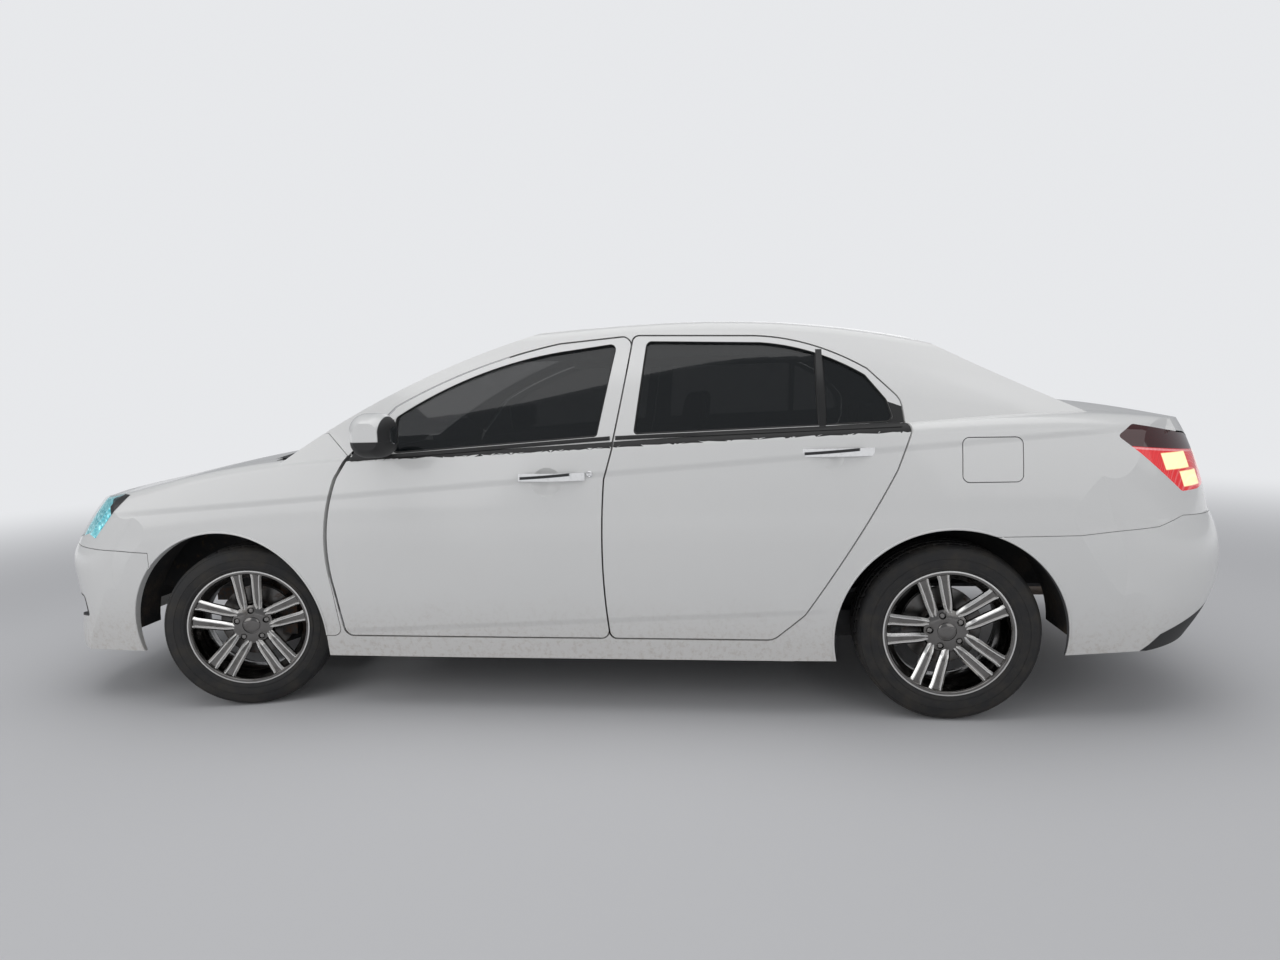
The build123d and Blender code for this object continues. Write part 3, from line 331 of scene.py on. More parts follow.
# Floor: pressed sheet steel, sprayed with a rough sealer below. A dark looped carpet lies on it inside.
carpet = Finish("dark_carpet", (0.02, 0.02, 0.021), 0.95)
carpet.relief(carpet.grains(700.0), 0.002)
wear(solids["floor_pan"], sealer, carpet)
for face in solids["floor_pan"].data.polygons:
    face.material_index = 1 if face.normal.z > 0.3 else 0

# Tyres: black road rubber on 17-inch rims. Four grooves run round the tread and short cuts cross its ribs.
# The sidewall has a bead that guards the rim and fine moulded rings, and brown dust lies on it.


def turned(name, rows, steps):
    """A ring about the Y axis, spun from an outline of (radius, offset) rows in mm."""
    bpy.ops.object.select_all(action="DESELECT")
    bpy.ops.mesh.primitive_plane_add(size=0.001, location=(0, 0, 0))
    piece = bpy.context.object
    piece.name = name
    bpy.ops.object.mode_set(mode="EDIT")
    bpy.ops.mesh.select_mode(type="VERT")
    bpy.ops.mesh.select_all(action="SELECT")
    bpy.ops.mesh.merge(type="CENTER")
    bpy.ops.transform.translate(value=(rows[0][0] / 1000, rows[0][1] / 1000, 0))
    for before, after in zip(rows, rows[1:]):
        move = ((after[0] - before[0]) / 1000, (after[1] - before[1]) / 1000, 0)
        bpy.ops.mesh.extrude_region_move(TRANSFORM_OT_translate={"value": move})
    bpy.ops.mesh.select_all(action="SELECT")
    bpy.ops.mesh.spin(steps=steps, angle=math.tau, center=(0, 0, 0), axis=(0, 1, 0))
    bpy.ops.mesh.select_all(action="SELECT")
    bpy.ops.mesh.remove_doubles(threshold=0.00003)
    bpy.ops.mesh.normals_make_consistent(inside=False)
    bpy.ops.object.mode_set(mode="OBJECT")
    return piece


def smooth(piece, degrees):
    bpy.ops.object.select_all(action="DESELECT")
    piece.select_set(True)
    bpy.context.view_layer.objects.active = piece
    bpy.ops.object.shade_smooth_by_angle(angle=math.radians(degrees))


def choose(piece, kind, wanted):
    """Selects some of a piece's vertices, edges or polygons for the next step in edit mode."""
    bpy.ops.object.select_all(action="DESELECT")
    piece.select_set(True)
    bpy.context.view_layer.objects.active = piece
    for group in (piece.data.vertices, piece.data.edges, piece.data.polygons):
        for one in group:
            one.select = False
    for one in getattr(piece.data, kind):
        one.select = bool(wanted(one))
    bpy.context.tool_settings.mesh_select_mode = (kind == "vertices", kind == "edges", kind == "polygons")
    bpy.ops.object.mode_set(mode="EDIT")


def wheel_place(name):
    """Where a wheel stands: its centre, with local Y along its axle."""
    joint = [j for j in frame["joints"] if j["name"] == "roll_" + name][0]
    axle = Vector(joint["axis"]).normalized()
    upward = (Vector((0, 0, 1)) - axle * axle.z).normalized()
    matrix = Matrix((axle.cross(upward), axle, upward)).transposed().to_4x4()
    return Matrix.Translation(joint["pos_m"]) @ matrix


WHEELS = ("front_left", "front_right", "rear_left", "rear_right")
PARKED_TURN = {"rear_left": -15.0, "front_right": 31.0, "rear_right": 8.0}


def fitted(pattern, name, replaced=()):
    """Copies a piece made for the left side about the origin onto all four wheels."""
    for wheel in WHEELS:
        mesh = pattern.data.copy()
        mesh.transform(Matrix.Rotation(math.radians(PARKED_TURN.get(wheel, 0.0)), 4, "Y"))
        if wheel.endswith("right"):
            mesh.transform(Matrix.Scale(-1, 4, (0, 1, 0)))
            mesh.flip_normals()
        mesh.transform(wheel_place(wheel))
        piece = bpy.data.objects.new(name + "_" + wheel, mesh)
        bpy.context.scene.collection.objects.link(piece)
        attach(piece, "wheel_" + wheel)
        if replaced:
            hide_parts(*[node + wheel for node in replaced])
    bpy.data.objects.remove(pattern)


TYRE_STEPS = 132
# half of the tyre's outline, from the tread's middle to the bead, as (radius, distance aside) in mm
ribs_and_grooves = [(318, 0), (318, 15), (311, 16.5), (311, 22), (317.8, 23.5), (317, 54), (310, 55.5),
                    (310, 61)]
shoulder = [(316.4, 62.5), (314.5, 82), (310, 92), (304, 97), (303.6, 96.2), (301, 96.6), (300.6, 98)]
sidewall = [(288, 102.6), (272, 106.2), (271.4, 105.2), (268.6, 105.4), (268, 106.6), (252, 106.6)]
bead = [(243, 104.6), (240, 106.2), (235, 104.8), (231, 99.5), (227.6, 97.5), (227.5, 93.8), (216.6, 91.8)]
half = ribs_and_grooves + shoulder + sidewall + bead
rows = [(radius, -aside) for radius, aside in half] + [(radius, aside) for radius, aside in reversed(half)]
tyre = turned("tyre_pattern", rows, TYRE_STEPS)


def tread_cut(face):
    """Whether a face of the tread is one of the short cuts across its ribs."""
    middle = face.center
    step = int((math.atan2(middle.z, middle.x) / math.tau) % 1.0 * TYRE_STEPS)
    outer_rib = 0.063 < abs(middle.y) < 0.083 and step % 3 == 0
    inner_rib = 0.025 < abs(middle.y) < 0.053 and step % 3 == 1
    return math.hypot(middle.x, middle.z) > 0.3135 and (outer_rib or inner_rib)


choose(tyre, "polygons", tread_cut)
bpy.ops.mesh.inset(thickness=0.0042, depth=-0.005, use_individual=True)
bpy.ops.object.mode_set(mode="OBJECT")
rubber = Finish("tyre_rubber", (0.02, 0.02, 0.02), 0.75)
dust = rubber.noise(14.0, 6.0, 0.65).over(0.38, 0.75)
rubber.give("Base Color", rubber.mixed(dust, (0.013, 0.013, 0.014), (0.045, 0.040, 0.034)))
rubber.give("Roughness", 0.62 + 0.25 * dust)
rubber.relief(rubber.noise(380.0, 3.0), 0.0006)
smooth(tyre, 34)
wear(tyre, rubber)
fitted(tyre, "road_tyre", ("tyre_",))

# Rims: cast aluminium with a smoked bright finish, five pairs of spokes, polished cut edges and a deep
# barrel. Five nuts sit in round pockets of the hub, one between the spokes of each pair, round a plain cap.
SPOKE_PAIRS = 5
NUT_CIRCLE = 0.0572
# outlines as (radius, offset along the axle) in mm, with the car's outside at negative offsets
outer_lip = [(216.2, -91), (216.2, -93), (226.4, -95), (227, -97), (226, -99), (221, -99.8), (214, -99)]
outer_wall = [(210.6, -95), (207.6, -82), (203, -68), (190, -52), (188, -46), (188, 30), (204, 58), (209, 97)]
inner_lip = [(213, 99.4), (225, 99), (225, 95), (216.2, 92)]
bead_seat = [(215, 60), (196.6, 34), (196.6, -42), (214, -62), (216.2, -91)]
barrel = turned("rim_barrel", outer_lip + outer_wall + inner_lip + bead_seat, 96)
cap_rows = [(0, -71.5), (16, -71), (26, -69.4), (30, -66.6), (30.8, -63.4), (33.6, -63.4), (34.6, -67.4)]
hub_rows = [(44, -67), (68, -63.6), (77, -59), (82, -50), (83, -36), (60, -31), (36, -30.4), (0, -30.4)]
hub = turned("rim_hub", cap_rows + hub_rows, 60)


def nut_place(k, offset):
    """The place of a wheel nut, in metres, on its circle round the axle."""
    angle = math.radians(90 + 360 / SPOKE_PAIRS * k)
    return NUT_CIRCLE * math.cos(angle), offset, NUT_CIRCLE * math.sin(angle)


bpy.ops.object.select_all(action="DESELECT")
drills = []
for k in range(SPOKE_PAIRS):
    bpy.ops.mesh.primitive_cylinder_add(
        vertices=28, radius=0.0128, depth=0.034, location=nut_place(k, -0.062), rotation=(math.pi / 2, 0, 0))
    drills.append(bpy.context.object)
for drill in drills:
    drill.select_set(True)
bpy.ops.object.join()
drill = bpy.context.object
cut = hub.modifiers.new("pockets", "BOOLEAN")
cut.object = drill
cut.solver = "EXACT"
bpy.ops.object.select_all(action="DESELECT")
bpy.context.view_layer.objects.active = hub
bpy.ops.object.modifier_apply(modifier="pockets")
bpy.data.objects.remove(drill)
# one spoke: a bar drawn out from hub to barrel, in steps of (reach, side, offset, width, depth) in mm
steps = [(60, 27, -50, 26, 26), (84, 28, -61, 34, 25), (108, 29.5, -67, 38, 22),
         (150, 32, -75, 40, 19), (192, 35.5, -82, 43, 17), (212, 37, -84, 50, 19)]
bpy.ops.mesh.primitive_cube_add(size=1, location=(0, 0, 0))
spoke = bpy.context.object
first = steps[0]
bpy.ops.object.mode_set(mode="EDIT")
bpy.ops.mesh.select_all(action="SELECT")
bpy.ops.transform.resize(value=(first[3] / 1000, first[4] / 1000, 0.008))
bpy.ops.transform.translate(value=(first[1] / 1000, first[2] / 1000, (first[0] - 4) / 1000))
bpy.ops.object.mode_set(mode="OBJECT")
choose(spoke, "polygons", lambda face: face.normal.z > 0.9)
for before, after in zip(steps, steps[1:]):
    move = ((after[1] - before[1]) / 1000, (after[2] - before[2]) / 1000, (after[0] - before[0]) / 1000)
    bpy.ops.mesh.extrude_region_move(TRANSFORM_OT_translate={"value": move})
    middle = (after[1] / 1000, after[2] / 1000, after[0] / 1000)
    bpy.ops.transform.resize(value=(after[3] / before[3], after[4] / before[4], 1), center_override=middle)
bpy.ops.object.mode_set(mode="OBJECT")
points = spoke.data.vertices


def front_edge(edge):
    """Whether a spoke's edge runs along its front, towards the barrel."""
    a, b = points[edge.vertices[0]].co, points[edge.vertices[1]].co
    return abs(a.z - b.z) > 0.006 and (a.y + b.y) / 2 < -0.05 - 0.19 * (a.z + b.z) / 2


choose(spoke, "edges", front_edge)
bpy.ops.mesh.bevel(offset=0.0065, segments=1, affect="EDGES", material=1)
bpy.ops.mesh.select_all(action="SELECT")
bpy.ops.mesh.normals_make_consistent(inside=False)
bpy.ops.object.mode_set(mode="OBJECT")
choose(spoke, "polygons", lambda face: face.normal.y < -0.86 and abs(face.normal.x) < 0.3)
bpy.ops.mesh.inset(thickness=0.0036, depth=0.0)
bpy.ops.mesh.inset(thickness=0.0032, depth=-0.0050)
bpy.ops.object.mode_set(mode="OBJECT")
channel = [face.index for face in spoke.data.polygons if face.select]
bars = []
for k in range(SPOKE_PAIRS):
    for hand in (1, -1):
        mesh = spoke.data.copy()
        if hand < 0:
            mesh.transform(Matrix.Scale(-1, 4, (1, 0, 0)))
            mesh.flip_normals()
        mesh.transform(Matrix.Rotation(math.radians(360 / SPOKE_PAIRS * k), 4, "Y"))
        bar = bpy.data.objects.new("spoke_bar", mesh)
        bpy.context.scene.collection.objects.link(bar)
        bars.append(bar)
bpy.data.objects.remove(spoke)
nuts = []
for k in range(SPOKE_PAIRS):
    bpy.ops.object.select_all(action="DESELECT")
    bpy.ops.mesh.primitive_cylinder_add(
        vertices=6, radius=0.0102, depth=0.022, location=nut_place(k, -0.052), rotation=(math.pi / 2, 0, 0))
    nut = bpy.context.object
    bpy.ops.object.transform_apply(location=True, rotation=True, scale=True)
    choose(nut, "polygons", lambda face: face.normal.y < -0.9)
    bpy.ops.mesh.inset(thickness=0.0022, depth=0.0024)
    bpy.ops.mesh.inset(thickness=0.0030, depth=0.0008)
    bpy.ops.object.mode_set(mode="OBJECT")
    nuts.append(nut)
smoked = Finish("smoked_bright_rim", (0.12, 0.115, 0.11), 0.14, Metallic=1.0, Coat_Weight=0.3,
                Coat_Roughness=0.05)
brake_dust = smoked.noise(25.0, 5.0, 0.6).over(0.45, 0.8)
smoked.give("Base Color", smoked.mixed(brake_dust, (0.20, 0.193, 0.187), (0.13, 0.12, 0.11)))
smoked.give("Roughness", 0.13 + 0.22 * brake_dust)
cut_edge = Finish("polished_cut_edge", (0.82, 0.81, 0.79), 0.12, Metallic=1.0)
cut_edge.give("Roughness", 0.10 + 0.15 * cut_edge.noise(80.0, 3.0))
nut_steel = Finish("plated_nut_steel", (0.30, 0.29, 0.28), 0.25, Metallic=1.0)
nut_steel.give("Roughness", 0.2 + 0.2 * nut_steel.noise(300.0, 2.0))
for piece in [barrel, hub] + bars + nuts:
    wear(piece, smoked, cut_edge, nut_steel)
for nut in nuts:
    for face in nut.data.polygons:
        face.material_index = 2
for bar in bars:
    for face in bar.data.polygons:
        face.material_index = 1 if abs(face.normal.y) > 0.5 and face.index not in channel else 0
for face in barrel.data.polygons:
    reach = math.hypot(face.center.x, face.center.z)
    face.material_index = 1 if face.center.y < -0.0945 and reach > 0.2185 else 0
bpy.ops.object.select_all(action="DESELECT")
for piece in [hub] + bars + nuts:
    piece.select_set(True)
barrel.select_set(True)
bpy.context.view_layer.objects.active = barrel
bpy.ops.object.join()
smooth(barrel, 30)
fitted(barrel, "spoked_rim", ("rim_",))

# Brake discs: a vented disc of turned cast iron with a drawn hat, bolted between the hub and the rim. It is
# bright iron with patches of rust.
hat = [(40, -27.5), (72, -27.5), (77, -24), (78, 3), (80, 7)]
rubbed_ring = [(136, 7.6), (140, 8.6), (140, 14), (134, 15), (134, 25), (140, 26), (140, 31.4), (82, 32)]
hat_inside = [(70, 28), (70, -20), (40, -20), (40, -27.5)]
disc = turned("disc_pattern", hat + rubbed_ring + hat_inside, 72)
iron = Finish("turned_disc_iron", (0.16, 0.155, 0.15), 0.4, Metallic=1.0)
rust = iron.noise(35.0, 5.0, 0.7).over(0.5, 0.78)
iron.give("Base Color", iron.mixed(rust, (0.17, 0.165, 0.16), (0.11, 0.06, 0.035)))
iron.give("Roughness", 0.28 + 0.4 * rust)
iron.relief(iron.noise(700.0, 2.0), 0.0002)
smooth(disc, 30)
wear(disc, iron)
fitted(disc, "brake_disc")

# Seals: extruded black rubber runs round every pane of the doors and is pressed into the frame. Its round
# bead follows the edge of the glass.


def pane_copy(name, label, outward):
    """The outer face of a glass node, as a loose copy merged into one sheet."""
    mesh = solids[name].data.copy()
    sheet = bpy.data.objects.new(label, mesh)
    bpy.context.scene.collection.objects.link(sheet)
    choose(sheet, "vertices", lambda point: True)
    bpy.ops.mesh.remove_doubles(threshold=0.0001)
    bpy.ops.object.mode_set(mode="OBJECT")
    choose(sheet, "polygons", lambda face: face.normal.dot(outward) < 0.4)
    bpy.ops.mesh.delete(type="FACE")
    bpy.ops.object.mode_set(mode="OBJECT")
    return sheet


def beaded(sheet, radius):
    """Turns a sheet's edge into a round bead."""
    choose(sheet, "polygons", lambda face: True)
    bpy.ops.mesh.region_to_loop()
    bpy.ops.mesh.select_mode(type="EDGE")
    bpy.ops.mesh.select_all(action="INVERT")
    bpy.ops.mesh.delete(type="EDGE")
    bpy.ops.object.mode_set(mode="OBJECT")
    bpy.ops.object.convert(target="CURVE")
    line = bpy.context.object
    line.data.bevel_depth = radius
    line.data.bevel_resolution = 2
    bpy.ops.object.convert(target="MESH")
    return bpy.context.object


SIDES = (("left", -1), ("right", 1))
for word, side in SIDES:
    for door in ("front", "rear"):
        pane = pane_copy(door + "_door_glass_" + word, door + "_window_seal_" + word, Vector((0, side, 0)))
        seal = beaded(pane, 0.0052)
        smooth(seal, 50)
        wear(seal, seal_rubber)
        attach(seal, door + "_door_" + word + "_leaf")

# Belt mouldings: an extruded black rubber strip under each pane, as long as the door. Its edges are rounded
# and it is clipped onto the door's skin.
AXLE_STATION = 1410.5


def spot(station, across, height):
    """A place on the car in metres, from mm behind the front axle, mm to the right and mm up."""
    return Vector((station - AXLE_STATION, across, height)) / 1000


def from_outside(piece, target, side, clearance):
    """Presses a flat piece, drawn beside the car, onto a panel, and drops what misses the panel."""
    bpy.ops.object.select_all(action="DESELECT")
    piece.select_set(True)
    bpy.context.view_layer.objects.active = piece
    press = piece.modifiers.new("press", "SHRINKWRAP")
    press.wrap_method = "PROJECT"
    press.use_project_y = True
    press.use_negative_direction = side > 0
    press.use_positive_direction = side < 0
    press.target = solids[target]
    press.offset = clearance
    bpy.ops.object.modifier_apply(modifier="press")
    choose(piece, "vertices", lambda point: abs(point.co.y) > 1.1)
    bpy.ops.mesh.delete(type="VERT")
    bpy.ops.object.mode_set(mode="OBJECT")


def walled(piece, side, thick, rounded):
    """Gives a pressed sheet its thickness in mm, outwards, and rounds its edges if asked."""
    wall = piece.modifiers.new("wall", "SOLIDIFY")
    wall.thickness = thick / 1000
    wall.offset = 1.0 if side < 0 else -1.0
    bpy.ops.object.modifier_apply(modifier="wall")
    if rounded:
        edge = piece.modifiers.new("edge", "BEVEL")
        edge.width = thick / 3000
        edge.segments = 2
        bpy.ops.object.modifier_apply(modifier="edge")
    choose(piece, "polygons", lambda face: True)
    bpy.ops.mesh.normals_make_consistent(inside=False)
    bpy.ops.object.mode_set(mode="OBJECT")
    smooth(piece, 40)


def strip(name, ends, width, side, target, thick):
    """A moulding along a straight line in side view, pressed onto a panel and given its thickness."""
    (x0, z0), (x1, z1) = ends
    bpy.ops.object.select_all(action="DESELECT")
    bpy.ops.mesh.primitive_grid_add(x_subdivisions=60, y_subdivisions=2, size=1)
    piece = bpy.context.object
    piece.name = name
    bpy.ops.object.mode_set(mode="EDIT")
    bpy.ops.mesh.select_all(action="SELECT")
    bpy.ops.transform.resize(value=(math.hypot(x1 - x0, z1 - z0) / 1000, width / 1000, 1))
    bpy.ops.object.mode_set(mode="OBJECT")
    slope = math.atan2(z1 - z0, x1 - x0)
    middle = spot((x0 + x1) / 2, side * 1200, (z0 + z1) / 2)
    upright = Matrix.Rotation(-slope, 4, "Y") @ Matrix.Rotation(math.pi / 2, 4, "X")
    piece.data.transform(Matrix.Translation(middle) @ upright)
    from_outside(piece, target, side, 0.0005)
    walled(piece, side, thick, True)
    return piece


BELT_ENDS = {"front": ((474, 966.8), (1466, 1026.7)), "rear": ((1486, 1027.1), (2486, 1053.3))}
BELT_WIDTH, BELT_THICK = 14, 2.4
for word, side in SIDES:
    for door, ends in BELT_ENDS.items():
        belt = strip(door + "_belt_strip_" + word, ends, BELT_WIDTH, side, door + "_door_" + word, BELT_THICK)
        wear(belt, seal_rubber)
        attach(belt, door + "_door_" + word + "_leaf")

# Sail panels: a triangular plate of grained black plastic lies in front of each front window, round the
# mirror's foot. It is moulded flat and clipped to the door.


def plate(name, corners, side, target, thick):
    """A flat plate with straight sides in side view, pressed onto a panel and given its thickness."""
    middle = Vector((sum(c[0] for c in corners), sum(c[1] for c in corners))) / len(corners)
    span = 2.2 * max((Vector(c) - middle).length for c in corners) / 1000
    bpy.ops.object.select_all(action="DESELECT")
    bpy.ops.mesh.primitive_grid_add(x_subdivisions=40, y_subdivisions=40, size=span)
    piece = bpy.context.object
    piece.name = name
    centre = spot(middle.x, side * 1200, middle.y)
    piece.data.transform(Matrix.Translation(centre) @ Matrix.Rotation(math.pi / 2, 4, "X"))
    for start, end in zip(corners, corners[1:] + corners[:1]):
        out = Vector((end[1] - start[1], 0, start[0] - end[0])).normalized()
        if out.dot(spot(start[0], side * 1200, start[1]) - centre) < 0:
            out = -out
        choose(piece, "polygons", lambda face: True)
        bpy.ops.mesh.bisect(plane_co=spot(start[0], 0, start[1]), plane_no=out, clear_outer=True)
        bpy.ops.object.mode_set(mode="OBJECT")
    from_outside(piece, target, side, 0.0004)
    walled(piece, side, thick, False)
    return piece


SAIL_CORNERS = [(467, 965), (639, 976), (639, 1112)]
for word, side in SIDES:
    sail = plate("sail_panel_" + word, SAIL_CORNERS, side, "front_door_" + word, 1.6)
    wear(sail, plastic)
    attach(sail, "front_door_" + word + "_leaf")

# Wheel-arch lips: the edge of the painted wing, body side and bumpers is rolled outwards round each arch
# and catches the light.
FRONT_ARCH, REAR_ARCH = (-50, 298, 404), (2650, 300, 400)
for word, side in SIDES:
    for target, (station, height, radius) in (
        ("front_wing_" + word, FRONT_ARCH), ("body_side_" + word, REAR_ARCH),
        ("front_bumper", FRONT_ARCH), ("rear_bumper", REAR_ARCH),
    ):
        bpy.ops.object.select_all(action="DESELECT")
        bpy.ops.mesh.primitive_circle_add(vertices=160, radius=radius / 1000)
        lip = bpy.context.object
        lip.name = "arch_lip_" + target + ("" if target.endswith(word) else "_" + word)
        beside = Matrix.Translation(spot(station, side * 1200, height))
        lip.data.transform(beside @ Matrix.Rotation(math.pi / 2, 4, "X"))
        from_outside(lip, target, side, 0.0)
        bpy.ops.object.convert(target="CURVE")
        lip = bpy.context.object
        lip.data.bevel_depth = 0.0042
        lip.data.bevel_resolution = 2
        lip.data.use_fill_caps = True
        bpy.ops.object.convert(target="MESH")
        smooth(lip, 50)
        wear(lip, paint)
        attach(lip, "car_body")

# Door handles: bright plated pull bars. A dark band along their top is a painted reflection of the sky. A
# round lock cylinder is set in the door's skin behind each front one.
LOCK_STATION, LOCK_HEIGHT = 1396, 903
plated = Finish("plated_handle", (0.74, 0.75, 0.76), 0.12, Metallic=1.0, Coat_Weight=0.4, Coat_Roughness=0.03)
x, y, z = plated.axes()
level = z - CREASE_RISE * x - 0.9066
along = x + 0.1525 - 1.01 * (x - 0.35).over(-0.001, 0.001)
# the dark band along each handle's top is a painted reflection of the sky, not the plating's own colour
painted_sky_reflection = level.within(-0.001, 0.0095, 0.0012) * along.within(-0.116, 0.070, 0.003)
plated.give("Base Color", plated.mixed(painted_sky_reflection, (0.80, 0.80, 0.80), (0.035, 0.035, 0.037)))
plated.give("Roughness", 0.09 + 0.14 * plated.noise(60.0, 4.0, 0.6).over(0.45, 0.7))
for name in solids:
    if "_door_handle_" in name:
        wear(solids[name], plated)
lock_rows = [(0, -4), (2, -4), (2.2, -3), (6.5, -3.2), (8, -4.4), (10.5, -4.6), (12, -3), (12, 3)]
for word, side in SIDES:
    lock = turned("key_cylinder_" + word, lock_rows, 40)
    lock.data.transform(Matrix.Rotation(math.pi if side > 0 else 0, 4, "Z"))
    beside = spot(LOCK_STATION, side * 1300, LOCK_HEIGHT)
    where = solids["front_door_" + word].ray_cast(beside, Vector((0, -side, 0)))[1]
    lock.data.transform(Matrix.Translation(where))
    smooth(lock, 30)
    wear(lock, plated)
    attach(lock, "front_door_" + word + "_leaf")

# Door mirrors: a moulded shell, black below and behind, with a painted cap above, and a silvered glass that
# faces back.
CAP_EDGE = 1.046
mirror_shell = Finish("two_tone_mirror_shell", (0.8, 0.8, 0.79), 0.3, Coat_Roughness=0.04)
x, y, z = mirror_shell.axes()
cap = (z - CAP_EDGE).over(-0.0012, 0.0012) * (1 - (x + 0.698).over(-0.001, 0.001))
cap = cap * (y.size() - 0.93).over(0.0, 0.002)
mirror_shell.give("Base Color", mirror_shell.mixed(cap, (0.018, 0.018, 0.019), (0.745, 0.745, 0.735)))
mirror_shell.give("Roughness", 0.6 - 0.32 * cap)
mirror_shell.give("Coat Weight", 0.85 * cap)
mirror_shell.relief((z - CAP_EDGE).size().over(0.0004, 0.0022) + 0.04 * mirror_shell.noise(500.0), 0.001)
silver = Finish("silvered_glass", (0.75, 0.77, 0.78), 0.03, Metallic=1.0)
silver.give("Roughness", 0.02 + 0.05 * silver.noise(30.0, 4.0).over(0.5, 0.8))
for word in ("left", "right"):
    shell = solids["mirror_" + word]
    wear(shell, mirror_shell, silver)
    for face in shell.data.polygons:
        outboard = abs(face.center.y) > 0.945
        face.material_index = 1 if face.normal.x > 0.985 and outboard else 0

# Headlamps: a bright metallised bowl with small facets behind a clear moulded lens, and a dark wedge at its
# upper rear corner. The facets' bright and dark colours are painted glints. A narrow plate of the same look
# carries the lamp over the wing's front edge.
TIP_CORNERS = [(-638, 686), (-481, 843), (-447, 842), (-598, 674)]
bowl = Finish("faceted_lamp_bowl", (0.62, 0.74, 0.76), 0.12, Metallic=0.9, Coat_Weight=0.3,
              Emission_Strength=0.55)
x, y, z = bowl.axes()
squeezed = bowl.node("ShaderNodeMapping", {}, {"Vector": bowl.place(), "Scale": (34, 34, 60)})
facets = bowl.node("ShaderNodeTexVoronoi", {"feature": "F1", "distance": "CHEBYCHEV"},
                   {"Vector": squeezed, "Scale": 1.0})
wedge = (x + 0.42 * (z - 0.80)).over(-1.942, -1.936)
# the facets' bright and dark turquoise colours are painted glints of the metallised bowl, not its own colour
painted_facet_glints = bowl.mixed(facets, (0.10, 0.50, 0.58), (0.62, 0.92, 0.95))
bowl.give("Base Color", bowl.mixed(wedge, painted_facet_glints, (0.012, 0.012, 0.013)))
lit = bowl.mixed(facets, (0.01, 0.30, 0.38), (0.25, 0.75, 0.80))
bowl.give("Emission Color", bowl.mixed(wedge, lit, (0.0, 0.0, 0.0)))
bowl.give("Metallic", 0.9 - 0.9 * wedge)
bowl.give("Roughness", 0.10 + 0.25 * wedge)
bowl.relief(facets * (1 - wedge), 0.006)
wear(solids["headlamps"], bowl, plastic)
for face in solids["headlamps"].data.polygons:
    outward = face.normal.y if face.center.y > 0 else -face.normal.y
    face.material_index = 0 if face.normal.x < 0 or outward > 0.2 or face.normal.z > 0.3 else 1
for word, side in SIDES:
    tip = plate("headlamp_tip_" + word, TIP_CORNERS, side, "front_wing_" + word, 1.4)
    wear(tip, bowl)
    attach(tip, "car_body")
lens = Finish("clear_lamp_lens", (0.10, 0.22, 0.24), 0.03, Alpha=0.14, Coat_Weight=0.5, Coat_Roughness=0.02)
lens.relief(lens.noise(220.0), 0.0004)
wear(solids["headlamp_lenses"], lens)

# Tail lamps: red moulded lenses with a darker upper band, a pale line under it, fine ribs, and clear blocks
# for the indicator and the reversing lamp. Black plastic closes them inside.
red = Finish("red_lamp_lens", (0.5, 0.01, 0.015), 0.08, Coat_Weight=0.8, Coat_Roughness=0.03,
             Emission_Strength=0.9)
x, y, z = red.axes()
lean = x + 0.35 * (z - 0.9)
blocks = (lean.within(1.938, 2.052, 0.003) * z.within(0.882, 0.938, 0.003)).most(
    lean.within(1.994, 2.086, 0.003) * z.within(0.820, 0.872, 0.003))
rear_block = y.size().within(0.545, 0.615, 0.003) * z.within(0.862, 0.935, 0.003) * (x - 2.05).over(0.0, 0.01)
blocks = blocks.most(rear_block)
upper = (z - 0.958 + 0.1 * (x - 1.9)).over(-0.002, 0.002)
pale = 1 - (z - 0.953 + 0.1 * (x - 1.9)).size().over(0.0022, 0.0042)
ribs = ((x + y.size()) * 700.0).sine()
shade = red.mixed(upper, (0.66, 0.008, 0.012), (0.035, 0.003, 0.004))
shade = red.mixed(pale, shade, (0.80, 0.42, 0.44))
red.give("Base Color", red.mixed(blocks, shade, (0.86, 0.74, 0.48)))
glow = red.mixed(upper, (0.34, 0.003, 0.006), (0.01, 0.0, 0.0))
red.give("Emission Color", red.mixed(blocks, glow, (1.0, 0.80, 0.36)))
red.relief(ribs * (1 - upper), 0.0007)
wear(solids["tail_lamps"], red, plastic)
for face in solids["tail_lamps"].data.polygons:
    outward = face.normal.y if face.center.y > 0 else -face.normal.y
    face.material_index = 0 if face.normal.x > 0.15 or outward > 0.25 else 1

# Rear bumper: moulded plastic, painted like the body, with a black lower valance that rises towards the
# rear and ends in a wedge at the side.
valance = Finish("two_tone_rear_bumper", (0.74, 0.74, 0.73), 0.3, Coat_Roughness=0.09)
x, y, z = valance.axes()
valance_edge = 0.236 + 0.90 * (x - 1.86).most(0.0).least(0.0867) + 0.34 * (x - 1.9455).most(0.0)
black = (valance_edge - z).over(-0.0015, 0.0015)
splash = (0.42 - z + 0.16 * valance.noise(7.0, 5.0, 0.6)).over(0.02, 0.30)
soil = splash * (0.14 + 0.30 * valance.noise(55.0, 4.0, 0.7).over(0.45, 0.72))
coat = valance.mixed(soil, (0.745, 0.745, 0.735), DIRT_COLOUR)
valance.give("Base Color", valance.mixed(black, coat, (0.022, 0.022, 0.023)))
valance.give("Roughness", 0.3 + 0.3 * soil.most(black))
valance.give("Coat Weight", 0.7 - 0.7 * black)
valance.relief((1 - black) + 0.05 * valance.noise(400.0), 0.002)
wear(solids["rear_bumper"], valance, sealed)
for face in solids["rear_bumper"].data.polygons:
    face.material_index = 1 if face.normal.x < -0.45 else 0

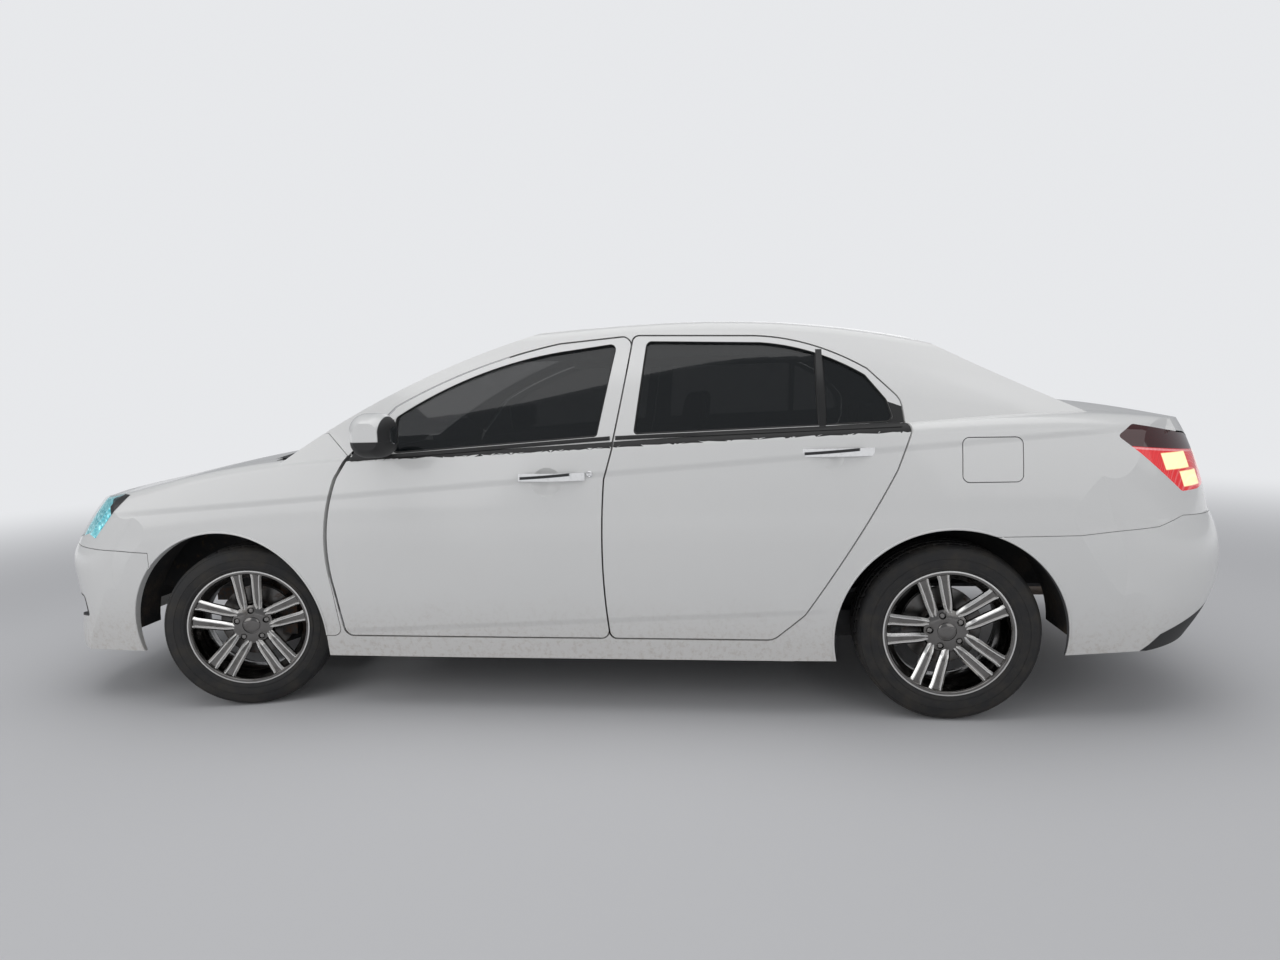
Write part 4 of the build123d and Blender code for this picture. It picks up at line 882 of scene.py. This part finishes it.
# Seats: dark woven cloth, stretched tight over foam with rounded edges, with sewn channels near the sides.
# The front seats are two of one form, and the rear seat is one bench.
VOXEL = 0.009
cloth = Finish("woven_seat_cloth", (0.05, 0.05, 0.053), 0.95, Sheen_Weight=0.3)
x, y, z = cloth.axes()
weave = (x * 2600.0).sine() * (y * 2600.0).sine() + (z * 2600.0).sine() * 0.5
around = (y.size() - 0.365).size()
seam = 1 - (around - 0.145).size().over(0.001, 0.006)
cloth.give("Base Color", cloth.mixed(cloth.noise(30.0, 5.0), (0.040, 0.040, 0.043), (0.075, 0.075, 0.08)))
cloth.relief(weave * 0.15 - seam * 2.0, 0.002)
for name in ("front_seats", "rear_seat"):
    pad = bpy.data.objects.new(name + "_padded", solids[name].data.copy())
    bpy.context.scene.collection.objects.link(pad)
    choose(pad, "vertices", lambda point: True)
    bpy.ops.mesh.remove_doubles(threshold=0.0001)
    bpy.ops.object.mode_set(mode="OBJECT")
    grid = pad.modifiers.new("grid", "REMESH")
    grid.mode = "VOXEL"
    grid.voxel_size = VOXEL
    bpy.ops.object.modifier_apply(modifier="grid")
    soften = pad.modifiers.new("soften", "SMOOTH")
    soften.factor = 0.6
    soften.iterations = 14
    bpy.ops.object.modifier_apply(modifier="soften")
    for face in pad.data.polygons:
        face.use_smooth = True
    wear(pad, cloth)
    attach(pad, "car_body")
    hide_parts(name)

# Dashboard and steering wheel: the dashboard is soft grained plastic, darker above its seam than below, and
# the wheel's rim is covered in grained leather.
SEAM_HEIGHT = 0.84
trim = Finish("soft_grain_plastic", (0.03, 0.03, 0.032), 0.7)
x, y, z = trim.axes()
above_seam = (z - SEAM_HEIGHT).over(-0.001, 0.001)
trim.give("Base Color", trim.mixed(above_seam, (0.075, 0.072, 0.068), (0.024, 0.024, 0.026)))
trim.relief(trim.grains(600.0) + 2.0 * (z - SEAM_HEIGHT).size().over(0.0005, 0.004), 0.0012)
wear(solids["dashboard"], trim)
leather = Finish("grained_black_leather", (0.022, 0.021, 0.02), 0.5)
leather.relief(leather.grains(420.0, "SMOOTH_F1"), 0.0008)
wear(solids["steering_wheel"], leather)
